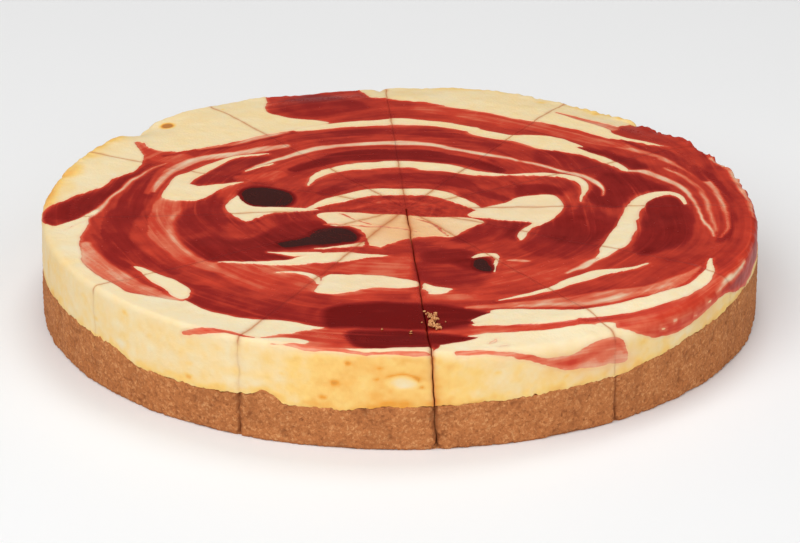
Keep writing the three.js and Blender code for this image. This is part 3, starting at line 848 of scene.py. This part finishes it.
def filling_section(slice_number, rays, pitch):
    """Rows under the filling, up its side, round the rim and in over the top, and each corner unrolled."""
    length, tip = rays.length, 0 * rays.length
    edge = points_on(rays, length)
    rounding = round_the_cake(RIM_ROUNDINGS, direction_of(*edge, rays.middle))
    rounding_top = top_height(*points_on(rays, length - rounding))
    under = np.concatenate([tip, inset_rows(rays, FILLING_UNDERSIDE)])
    voids = VOID_DEPTH * np.clip(layered(*edge, VOID_NOISE) - VOID_LEVEL, 0, 1)
    side_bottom = crust_height(*edge) + LAYER_GAP + voids
    side_height = rows_between(side_bottom, rounding_top - rounding, pitch)
    turns = np.linspace(0, math.pi / 2, ROUNDING_ROWS)[:, None]
    top = np.concatenate([rows_between(length - rounding, tip, pitch)[1:], tip])
    distance = np.concatenate([
        under, np.repeat(length, len(side_height), axis=0), length - rounding * (1 - np.cos(turns)), top,
    ])
    height = np.concatenate([
        crust_height(*points_on(rays, under)) + LAYER_GAP, side_height,
        rounding_top - rounding * (1 - np.sin(turns)), top_height(*points_on(rays, top)),
    ])
    at = lay_out(slice_number, rays, distance, height)
    at.still_rows = len(under) + 1

    path = np.concatenate([tip, np.hypot(np.diff(distance, axis=0), np.diff(height, axis=0))]).cumsum(axis=0)
    rim_row = len(under) + len(side_height) + ROUNDING_ROWS - 1
    unroll = np.maximum(path[rim_row] - path - (distance - (length - rounding)), 0)
    unroll[rim_row:] = 0
    radius = np.maximum(np.hypot(at.x, at.y), TINY)
    slump = TOP_HEIGHT - top_height(*points_on(rays, np.minimum(distance, length - rounding)))
    at.flat_x = at.x * (1 + unroll / radius)
    at.flat_y = at.y * (1 + unroll / radius) - SLUMP_SHIFT * slump
    at.outwards = radius + unroll
    return at


def filling_relief(at, inside, on_side, opened, sauce_depth):
    """The filling's fine relief: a soft swell, the sunken sauce, the craggy rim and the eased cuts."""
    beyond = at.outwards - CAKE_RADIUS
    relief = layered(at.flat_x, at.flat_y, TOP_SWELL, SWELL_TURN)
    ripple = RIPPLE_ON_CREAM + (RIPPLE_ON_SAUCE - RIPPLE_ON_CREAM) * ease(inside)
    relief += ripple * layered(at.flat_x, at.flat_y, TOP_RIPPLE, RIPPLE_TURN)
    relief += layered(at.flat_x, at.flat_y, CREAM_DIMPLES) * ease(0.5 - inside)
    relief += LIP_HEIGHT * bell(inside + LIP_PLACE, LIP_WIDTH)
    relief -= sauce_depth * ease(inside / SAUCE_SLOPE + 0.5)
    side_relief = layered(at.arc, at.height / 3, SIDE_RIDGES) + layered(at.arc, at.height, SIDE_DIMPLES)
    relief += on_side * side_relief
    crags = round_the_cake(RIM_CRAGS, at.directions) * layered(at.flat_x, at.flat_y, CRAG_NOISE)
    relief += bell(beyond, RIM_SPREAD) * crags
    for direction, half_width, depth in RIM_DENTS:
        relief -= depth * bell(away_from(at.directions, direction), half_width) * bell(beyond, DENT_SPREAD)
    mouth = bell(beyond - MOUTH_PLACE, MOUTH_SPREAD)
    wear_width, wear_depth = (
        np.where(opened, in_open_cut + at_mouth * mouth, in_shut_cut)
        for in_open_cut, at_mouth, in_shut_cut in zip(OPEN_WEAR, MOUTH_WEAR, SHUT_WEAR)
    )
    relief -= wear_depth * np.clip(1 - at.gap / wear_width, 0, 1) ** 2
    relief[:at.still_rows] = 0
    return relief


def cut_stain_and_shade(at, on_side, opened):
    """How much sauce the knife has drawn along the cuts, together with painted shade of the gaps, from 0 to
    1: most near the middle.
    """
    reach = np.select([at.cuts == cut for cut in SMEARED_AND_SHADED_CUTS], SMEARED_AND_SHADED_CUTS.values(), SMEAR_AND_SHADE_SPREAD)
    near_middle = SMEAR_AND_SHADE_NEAR_MIDDLE * bell(at.distance, SMEAR_AND_SHADE_MIDDLE)
    reach = reach * (1 + layered(at.distance, at.height, CUT_SMEAR_AND_SHADE_NOISE) + near_middle)
    return np.exp(-at.gap / reach) * np.where(opened, 1, 1 - SIDE_SMEAR_AND_SHADE_LOSS * on_side)


def filling_slice(slice_number, settings, material):
    """One slice's filling, with its rounded rim, the swirl's low relief and its baked colours."""
    rays = cut_rays(slice_number, settings.filling_columns, settings.cut_width, settings.open_cut_width)
    at = filling_section(slice_number, rays, settings.filling_pitch)
    inside, tone = paint_swirl(at.flat_x, at.flat_y)
    flow_across, flow_along = flow_of(at.flat_x, at.flat_y, at.directions)
    beyond = at.outwards - CAKE_RADIUS
    on_side = ease(beyond / SIDE_RELIEF_REACH)
    opened = at.cuts == OPEN_CUT
    relief = filling_relief(at, inside, on_side, opened, settings.sauce_depth)
    # The sauce's tinge near the strokes, and over the middle a painted shade with a red cast
    blush = sum(
        strength * spot(at.flat_x, at.flat_y, centre_x, centre_y, radius)
        for centre_x, centre_y, radius, strength in BLUSHES_AND_PAINTED_SHADE
    )
    piece = slice_mesh(f"filling_slice_{slice_number + 1:02d}", rays, at, relief)
    # Along the cuts: sauce drawn by the knife together with painted shade of the gaps
    add_values(
        piece, sauce_inside=inside, sauce_tone=tone, bake=bake_of(at), blush=blush,
        cut_smear=cut_stain_and_shade(at, on_side, opened), wetness=1 - GLOSS_LOSS * ease(beyond / GLOSS_REACH + 1),
        flow_across=flow_across, flow_along=flow_along,
    )
    finish_slice(piece, material, f"filling_{slice_number + 1:02d}")


def crust_section(slice_number, rays, pitch):
    """Rows under the crust, round its foot, up its side and in over the top, where the filling lies."""
    length, tip = rays.length, 0 * rays.length
    edge_height = crust_height(*points_on(rays, length))
    under = np.concatenate([tip, inset_rows(rays, CRUST_UNDERSIDE)])
    turns = np.array(CRUST_FOOT_TURNS)[:, None]
    side_height = rows_between(tip + CRUST_FOOT, edge_height - CRUST_BRIM_DROPS[0], pitch)
    brim = inset_rows(rays, CRUST_BRIM)
    over = np.concatenate([inset_rows(rays, CRUST_TOP), tip])
    distance = np.concatenate([
        under, length - CRUST_FOOT * (1 - np.sin(turns)),
        np.repeat(length, len(side_height), axis=0), brim, over,
    ])
    level_brim = crust_height(*points_on(rays, brim[len(CRUST_BRIM_DROPS):]))
    height = np.concatenate([
        0 * under, tip + CRUST_FOOT * (1 - np.cos(turns)), side_height,
        edge_height - np.array(CRUST_BRIM_DROPS)[:, None], level_brim, crust_height(*points_on(rays, over)),
    ])
    at = lay_out(slice_number, rays, distance, height)
    at.still_rows = len(under) + 1
    return at


def crust_relief(at, grain_size):
    """The crust's side: packed crumbs, soft swells, pits where crumbs are gone, and crumbled cuts."""
    relief = layered(at.arc, at.height, CRUST_SWELL)
    for height, share, seed in GRAIN_LAYERS:
        relief += height * (grains(at.arc, at.height, grain_size * share, seed) - GRAIN_LEVEL)
    relief -= PIT_DEPTH * np.clip(layered(at.arc, at.height, CRUST_PIT_NOISE) - PIT_LEVEL, 0, 1)
    crumbled_height = CRUMBLED_HEIGHT + layered(at.arc, at.height, CRUMBLED_HEIGHT_NOISE)
    crumbled = CRUMBLED_ABOVE + CRUMBLED_BELOW * ease((crumbled_height - at.height) / CRUMBLED_FADE)
    for cut, depth in CRUMBLED_CUTS.items():
        notch = at.gap / (CRUMBLED_WIDTH + layered(at.height, 0 * at.arc + cut, NOTCH_NOISE))
        relief -= (at.cuts == cut) * depth * crumbled * np.clip(1 - notch, 0, 1)
    wear_width, wear_depth = CRUST_WEAR
    return relief - wear_depth * np.clip(1 - at.gap / wear_width, 0, 1)


def crust_slice(slice_number, settings, material):
    """One slice's crust, its side a mass of pressed crumbs."""
    open_width = settings.open_cut_width * CRUST_CUT_SHARE
    rays = cut_rays(slice_number, settings.crust_columns, settings.cut_width, open_width)
    at = crust_section(slice_number, rays, settings.crust_pitch)
    at_side = ease((at.distance - rays.length + 2.4) / 2.2)
    relief = crust_relief(at, settings.grain_size) * at_side
    relief[:at.still_rows] = 0
    piece = slice_mesh(f"crust_slice_{slice_number + 1:02d}", rays, at, relief)
    # Painted shade: darker where the side's relief sinks in
    add_values(piece, hollow=np.clip(0.5 - relief, 0, 1) * at_side)
    finish_slice(piece, material, f"crust_{slice_number + 1:02d}")


# Materials

def add_node(tree, kind, inputs=(), **settings):
    """A node with its settings, and its inputs given as values or as the sockets that feed them."""
    node = tree.nodes.new(kind)
    for name, value in settings.items():
        setattr(node, name, value)
    for name, value in dict(inputs).items():
        if isinstance(value, bpy.types.NodeSocket):
            tree.links.new(value, node.inputs[name])
        else:
            node.inputs[name].default_value = value
    return node


def new_group(name, inputs, outputs):
    """An empty shader group of named numbers, each input with its default; and its two end nodes."""
    group = bpy.data.node_groups.new(name, "ShaderNodeTree")
    for socket_name, default in inputs.items():
        socket = group.interface.new_socket(socket_name, in_out="INPUT", socket_type="NodeSocketFloat")
        socket.default_value = default
    for socket_name in outputs:
        group.interface.new_socket(socket_name, in_out="OUTPUT", socket_type="NodeSocketFloat")
    return group, group.nodes.new("NodeGroupInput").outputs, group.nodes.new("NodeGroupOutput").inputs


def use_group(tree, group, **inputs):
    """A group's outputs, placed in a material with its own values."""
    named = {name.replace("_", " "): value for name, value in inputs.items()}
    return add_node(tree, "ShaderNodeGroup", named, node_tree=group).outputs


def math_node(tree, operation, first, second):
    return add_node(tree, "ShaderNodeMath", {0: first, 1: second}, operation=operation).outputs[0]


def times(tree, first, second):
    return math_node(tree, "MULTIPLY", first, second)


def plus(tree, total, *values):
    """The sum of two or more values."""
    for value in values:
        total = math_node(tree, "ADD", total, value)
    return total


def swing(tree, noise, amount, middle=0.5):
    """A noise's swing to either side of its middle, that many times as strong."""
    return times(tree, math_node(tree, "SUBTRACT", noise, middle), amount)


def from_range(tree, value, low, high, start=0.0, end=1.0, kind="LINEAR"):
    """A value's place between low and high, put between start and end."""
    inputs = {"Value": value, "From Min": low, "From Max": high, "To Min": start, "To Max": end}
    return add_node(tree, "ShaderNodeMapRange", inputs, interpolation_type=kind).outputs["Result"]


def noise_value(tree, scale, detail=3.0, roughness=0.55):
    """Noise on the piece's own coordinates; scale is in features for each metre."""
    place = add_node(tree, "ShaderNodeTexCoord").outputs["Object"]
    inputs = {"Vector": place, "Scale": scale, "Detail": detail, "Roughness": roughness}
    return add_node(tree, "ShaderNodeTexNoise", inputs).outputs["Fac"]


def attribute_value(tree, name):
    return add_node(tree, "ShaderNodeAttribute", attribute_name=name).outputs["Fac"]


def flow_streaks(tree, width, length):
    """Noise drawn out along the way the sauce was stirred; both sizes in millimetres."""
    across = math_node(tree, "DIVIDE", attribute_value(tree, "flow_across"), width)
    along = math_node(tree, "DIVIDE", attribute_value(tree, "flow_along"), length)
    place = add_node(tree, "ShaderNodeCombineXYZ", {"X": across, "Y": along, "Z": width})
    inputs = {"Vector": place.outputs["Vector"], "Scale": 1.0, "Detail": 2.0, "Roughness": 0.5}
    return add_node(tree, "ShaderNodeTexNoise", inputs).outputs["Fac"]


def opaque(colour):
    """A colour with its opacity; a socket is given back as it is."""
    return colour if isinstance(colour, bpy.types.NodeSocket) else (*colour[:3], 1)


def mix_colours(tree, factor, first, second):
    inputs = {0: factor, 6: opaque(first), 7: opaque(second)}
    return add_node(tree, "ShaderNodeMix", inputs, data_type="RGBA").outputs[2]


def colour_ramp(tree, factor, stops):
    node = add_node(tree, "ShaderNodeValToRGB", {"Fac": factor})
    elements = node.color_ramp.elements
    while len(elements) < len(stops):
        elements.new(0.5)
    for element, (position, colour) in zip(elements, stops):
        element.position = position
        element.color = opaque(colour)
    return node.outputs["Color"]


def blend_of(first, second, share):
    """A colour that far from the first to the second."""
    return tuple(a + (b - a) * share for a, b in zip(first, second))


def ragged_edge_group():
    """Turns a distance inside the sauce into a mask with a feathery edge, and a stain outside it."""
    group, given, result = new_group(
        "Ragged edge",
        {"Distance": 0.0, "Raggedness": 0.4, "Scale": 500.0, "Softness": 0.1, "Stain reach": 1.0},
        ["Mask", "Stain"],
    )
    noise = noise_value(group, given["Scale"], 4.0)
    distance = plus(group, given["Distance"], swing(group, noise, given["Raggedness"]))
    for name, reach, high in (("Mask", "Softness", given["Softness"]), ("Stain", "Stain reach", 0.0)):
        low = times(group, given[reach], -1.0)
        group.links.new(from_range(group, distance, low, high, kind="SMOOTHSTEP"), result[name])
    return group


def fine_grain_group():
    """Two sizes of soft grain, as a height for a bump."""
    group, given, result = new_group("Fine grain", {"Scale": 900.0, "Coarse share": 0.5}, ["Height"])
    fine = noise_value(group, given["Scale"], 3.0)
    coarse = noise_value(group, times(group, given["Scale"], 0.3), 2.0)
    group.links.new(plus(group, fine, times(group, coarse, given["Coarse share"])), result["Height"])
    return group


def shared_group(name, make):
    """The shader group of that name, made at its first use."""
    return bpy.data.node_groups.get(name) or make()


def new_material(name, **shader_values):
    """A material with a Principled shader set to these plain values."""
    material = bpy.data.materials.new(name)
    material.use_nodes = True
    shader = material.node_tree.nodes["Principled BSDF"]
    for socket, value in shader_values.items():
        shader.inputs[socket.replace("_", " ")].default_value = value
    return material, material.node_tree, shader


def feed_bump(tree, shader, height, strength):
    """Fine grain on the surface, from a height."""
    depth = GRAIN_DEPTH * MM
    bump = add_node(tree, "ShaderNodeBump", {"Height": height, "Strength": strength, "Distance": depth})
    tree.links.new(bump.outputs["Normal"], shader.inputs["Normal"])


def cream_colour(tree, settings, smear, stain):
    """Baked cream: mottled from pale to toasted, tinged where sauce is near, with painted shade over the
    middle, and darkened along the cuts by smeared sauce and painted shade.
    """
    mottled = plus(tree, attribute_value(tree, "bake"), swing(tree, noise_value(tree, 230.0, 5.0), 0.34))
    cream = colour_ramp(tree, times(tree, mottled, 0.5), [
        (0.0, settings.cream),
        (0.34, settings.golden),
        (0.62, settings.amber),
        (1.0, settings.toasted),
    ])
    strength = from_range(tree, attribute_value(tree, "sauce_tone"), 0.1, 0.5, end=0.34)
    stained = blend_of(settings.sauce_thin, settings.cream, 0.35)
    cream = mix_colours(tree, times(tree, stain, strength), cream, stained)
    # Also the colour of the painted shade over the middle
    blushed = blend_of(settings.sauce_thin, settings.golden, 0.5)
    cream = mix_colours(tree, attribute_value(tree, "blush"), cream, blushed)
    # The cuts' line colour: smeared sauce, and painted shade of the gap
    smear_and_shade_colour = blend_of(settings.sauce_bright, settings.toasted, 0.65)
    return mix_colours(tree, times(tree, smear, 0.85), cream, smear_and_shade_colour)


def sauce_colour(tree, settings, smear, inside, broad, narrow):
    """Sauce from a thin film to blackened pools, streaked the way it was stirred and thinner at its edge."""
    tone = plus(
        tree, attribute_value(tree, "sauce_tone"), swing(tree, noise_value(tree, 320.0, 6.0, 0.6), 0.12),
        swing(tree, broad, 0.32), swing(tree, narrow, 0.09), swing(tree, noise_value(tree, 105.0, 3.0), 0.24),
    )
    tone = times(tree, tone, from_range(tree, inside, 0.0, 1.7, 0.72, 1.0, "SMOOTHSTEP"))
    tone = times(tree, tone, from_range(tree, flow_streaks(tree, 1.5, 34.0), 0.6, 0.76, 1.0, 0.76))
    sauce = colour_ramp(tree, math_node(tree, "DIVIDE", tone, BLACKENED), [
        (0.0, settings.cream),
        (BLUSH / BLACKENED, blend_of(settings.cream, settings.sauce_thin, 0.42)),
        (PINK / BLACKENED, settings.sauce_thin),
        (BRIGHT / BLACKENED, settings.sauce_bright),
        (DEEP / BLACKENED, settings.sauce_deep),
        (0.97 * INKY / BLACKENED, settings.sauce_pool),
        (1.16 * INKY / BLACKENED, settings.sauce_pool),
        (0.88, settings.sauce_blackened),
    ])
    # Darker toward the pool colour along the cuts: painted shade of the gap
    return mix_colours(tree, times(tree, smear, 0.3), sauce, settings.sauce_pool)


def filling_material(settings):
    """Pale baked cream with sauce marbled into it: satin cream, glossy sauce."""
    material, tree, shader = new_material(
        "Swirled filling", Coat_Roughness=0.1, Subsurface_Weight=0.1, Subsurface_Scale=0.003,
        Subsurface_Radius=(1.0, 0.45, 0.2), IOR=1.4, Specular_IOR_Level=0.14,
    )
    broad = flow_streaks(tree, 2.6, 17.0)
    narrow = flow_streaks(tree, 0.8, 20.0)
    feather = plus(tree, swing(tree, broad, 1.5), swing(tree, narrow, 0.5))
    inside = plus(tree, attribute_value(tree, "sauce_inside"), feather)
    edge = use_group(tree, shared_group("Ragged edge", ragged_edge_group), Distance=inside, Raggedness=0.26,
                     Scale=620.0, Softness=0.11, Stain_reach=1.3)
    # Sauce smear and painted shade along the cuts
    smear = attribute_value(tree, "cut_smear")
    cream = cream_colour(tree, settings, smear, edge["Stain"])
    sauce = sauce_colour(tree, settings, smear, inside, broad, narrow)
    tree.links.new(mix_colours(tree, edge["Mask"], cream, sauce), shader.inputs["Base Color"])

    wetness = times(tree, edge["Mask"], attribute_value(tree, "wetness"))
    satin = plus(tree, times(tree, noise_value(tree, 400.0), 0.22), 0.36)
    roughness = plus(tree, satin, times(tree, wetness, -0.24), times(tree, smear, 0.25))
    tree.links.new(roughness, shader.inputs["Roughness"])
    tree.links.new(times(tree, wetness, 0.16), shader.inputs["Coat Weight"])

    grain = use_group(tree, shared_group("Fine grain", fine_grain_group), Scale=1100.0, Coarse_share=0.8)
    dry = math_node(tree, "SUBTRACT", 1.0, times(tree, edge["Mask"], 0.93))
    feed_bump(tree, shader, times(tree, grain["Height"], dry), 0.35)
    return material


def crumb_material(settings, name, lightness):
    """Pressed biscuit crumbs: brown grains among lighter and darker ones, with painted shade in the hollows
    of the crust's side.
    """
    material, tree, shader = new_material(name, Roughness=0.85, IOR=1.4, Specular_IOR_Level=0.3)
    place = add_node(tree, "ShaderNodeTexCoord").outputs["Object"]
    picks = []
    for scale, channel, amount in ((1150.0, "Red", 0.36), (2400.0, "Green", 0.26)):
        cells = add_node(tree, "ShaderNodeTexVoronoi", {"Vector": place, "Scale": scale}).outputs["Color"]
        parts = add_node(tree, "ShaderNodeSeparateColor", {"Color": cells}).outputs
        picks.append(times(tree, parts[channel], amount))
    pick = plus(tree, *picks, times(tree, noise_value(tree, 150.0), 0.3),
                swing(tree, noise_value(tree, 520.0), 0.3, 0.42), lightness)
    base = colour_ramp(tree, pick, [
        (0.1, settings.crumb_dark),
        (0.34, blend_of(settings.crumb_dark, settings.crumb_brown, 0.8)),
        (0.56, settings.crumb_brown),
        (0.78, blend_of(settings.crumb_brown, settings.crumb_light, 0.6)),
        (0.97, settings.crumb_light),
    ])
    # Painted shade in the hollows of the crust's side
    shade = from_range(tree, attribute_value(tree, "hollow"), 0.45, 1.0)
    base = mix_colours(tree, times(tree, shade, 0.6), base, settings.crumb_dark)
    tree.links.new(base, shader.inputs["Base Color"])
    grain = use_group(tree, shared_group("Fine grain", fine_grain_group), Scale=2200.0, Coarse_share=1.2)
    feed_bump(tree, shader, grain["Height"], 0.5)
    return material


# Operators

class CHEESECAKE_OT_fillings(bpy.types.Operator):
    """Models the slices' cream cheese filling with the sauce swirl"""

    bl_idname = "cheesecake.fillings"
    bl_label = "Fillings"

    def execute(self, context):
        settings = context.scene.cheesecake
        material = filling_material(settings)
        for slice_number in range(len(CUT_DIRECTIONS)):
            filling_slice(slice_number, settings, material)
        return {"FINISHED"}


class CHEESECAKE_OT_crusts(bpy.types.Operator):
    """Models the slices' crumb crust"""

    bl_idname = "cheesecake.crusts"
    bl_label = "Crusts"

    def execute(self, context):
        settings = context.scene.cheesecake
        material = crumb_material(settings, "Crumb crust", 0.0)
        for slice_number in range(len(CUT_DIRECTIONS)):
            crust_slice(slice_number, settings, material)
        return {"FINISHED"}


def shape_crumb(crumb, draw):
    """Makes a ball into an uneven crumb: flattened from a few sides, and stretched."""
    places = np.empty(len(crumb.data.vertices) * 3)
    crumb.data.vertices.foreach_get("co", places)
    places = places.reshape(-1, 3)
    size = np.linalg.norm(places, axis=1).max()
    for _ in range(CRUMB_FLATS):
        side = draw.normal(size=3)
        side /= np.linalg.norm(side)
        beyond = np.clip(places @ side - draw.uniform(*CRUMB_FLAT_DEPTHS) * size, 0, None)
        places = places - beyond[:, None] * side
    crumb.data.vertices.foreach_set("co", (places * draw.uniform(*CRUMB_STRETCH, size=3)).ravel())


class CHEESECAKE_OT_crumbs(bpy.types.Operator):
    """Models the crumbs that fell on the sauce beside the open cut"""

    bl_idname = "cheesecake.crumbs"
    bl_label = "Crumbs"

    def execute(self, context):
        draw = np.random.default_rng(CRUMB_SEED)
        line = smooth_curve(CRUMB_LINE, False)
        seats = []
        for _ in range(CRUMB_COUNT):
            x, y = line[draw.integers(len(line))] + draw.normal(0, CRUMB_SPREAD, size=2)
            seats.append((x, y, draw.uniform(*CRUMB_RADII), draw.uniform(0, HEAP_HEIGHT)))
        seats += [(x, y, radius, 0) for x, y, radius in STRAY_CRUMBS]
        bpy.ops.object.select_all(action="DESELECT")
        crumbs = []
        for x, y, radius, lift in seats:
            z = float(top_height(np.array(x), np.array(y))) + radius * CRUMB_SINK + lift
            bpy.ops.mesh.primitive_ico_sphere_add(
                subdivisions=3, radius=radius * MM, location=(x * MM, y * MM, z * MM)
            )
            shape_crumb(bpy.context.object, draw)
            crumbs.append(bpy.context.object)
        for crumb in crumbs:
            crumb.select_set(True)
        bpy.ops.object.join()
        bpy.ops.object.transform_apply(location=True, rotation=True, scale=True)
        heap = bpy.context.object
        heap.name = heap.data.name = "crumbs_on_top"
        bpy.ops.object.shade_smooth_by_angle(angle=math.radians(CRUMB_SMOOTH_UP_TO))
        heap.data.materials.append(crumb_material(context.scene.cheesecake, "Fallen crumbs", 0.32))
        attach(heap, "root")
        return {"FINISHED"}


def aim(place, target=(0, 0, 0)):
    """The turn of a light or a camera at a place so that it looks at a target."""
    return (Vector(target) - Vector(place)).to_track_quat("-Z", "Y").to_euler()


class CHEESECAKE_OT_stage(bpy.types.Operator):
    """Sets up the plain floor, the soft lights and the camera"""

    bl_idname = "cheesecake.stage"
    bl_label = "Stage"

    def execute(self, context):
        bpy.ops.object.select_all(action="DESELECT")
        bpy.ops.mesh.primitive_plane_add(size=FLOOR_SIZE, location=(0, 0, 0))
        floor = bpy.context.object
        floor.name = "floor"
        material, tree, shader = new_material("Pale floor", Roughness=0.6, Specular_IOR_Level=0.1)
        pale = mix_colours(tree, noise_value(tree, 3.0), (0.88, 0.88, 0.88), (0.9, 0.9, 0.9))
        tree.links.new(pale, shader.inputs["Base Color"])
        floor.data.materials.append(material)

        for name, place, size, power in LIGHTS:
            bpy.ops.object.light_add(type="AREA", location=place, rotation=aim(place))
            light = bpy.context.object
            light.name = name
            light.data.size = size
            light.data.energy = power
        world = bpy.data.worlds.new("studio")
        world.use_nodes = True
        world.node_tree.nodes["Background"].inputs["Color"].default_value = (1, 1, 1, 1)
        world.node_tree.nodes["Background"].inputs["Strength"].default_value = WORLD_STRENGTH
        context.scene.world = world
        context.scene.view_settings.view_transform = "Standard"

        bpy.ops.object.camera_add(location=CAMERA_PLACE, rotation=aim(CAMERA_PLACE, CAMERA_AIM))
        camera = bpy.context.object
        camera.name = "photo_camera"
        camera.data.sensor_width = SENSOR_WIDTH
        camera.data.lens = FOCAL_PIXELS / PHOTO_WIDTH * SENSOR_WIDTH
        camera.data.clip_start = 0.05
        camera.data.clip_end = 20
        context.scene.camera = camera
        return {"FINISHED"}


STEPS = (CHEESECAKE_OT_fillings, CHEESECAKE_OT_crusts, CHEESECAKE_OT_crumbs, CHEESECAKE_OT_stage)


class CHEESECAKE_PT_panel(bpy.types.Panel):
    """Lists the cake's settings and the steps that make it"""

    bl_label = "Cheesecake"
    bl_idname = "CHEESECAKE_PT_panel"
    bl_space_type = "VIEW_3D"
    bl_region_type = "UI"
    bl_category = "Cheesecake"

    def draw(self, context):
        for step in STEPS:
            self.layout.operator(step.bl_idname)
        for name in CheesecakeSettings.__annotations__:
            self.layout.prop(context.scene.cheesecake, name)


CLASSES = (CheesecakeSettings, *STEPS, CHEESECAKE_PT_panel)


def register():
    for each in CLASSES:
        bpy.utils.register_class(each)
    bpy.types.Scene.cheesecake = PointerProperty(type=CheesecakeSettings)


def unregister():
    del bpy.types.Scene.cheesecake
    for each in reversed(CLASSES):
        bpy.utils.unregister_class(each)


def main():
    register()
    bpy.ops.cheesecake.fillings()
    bpy.ops.cheesecake.crusts()
    bpy.ops.cheesecake.crumbs()
    bpy.ops.cheesecake.stage()


if __name__ == "__main__":
    main()
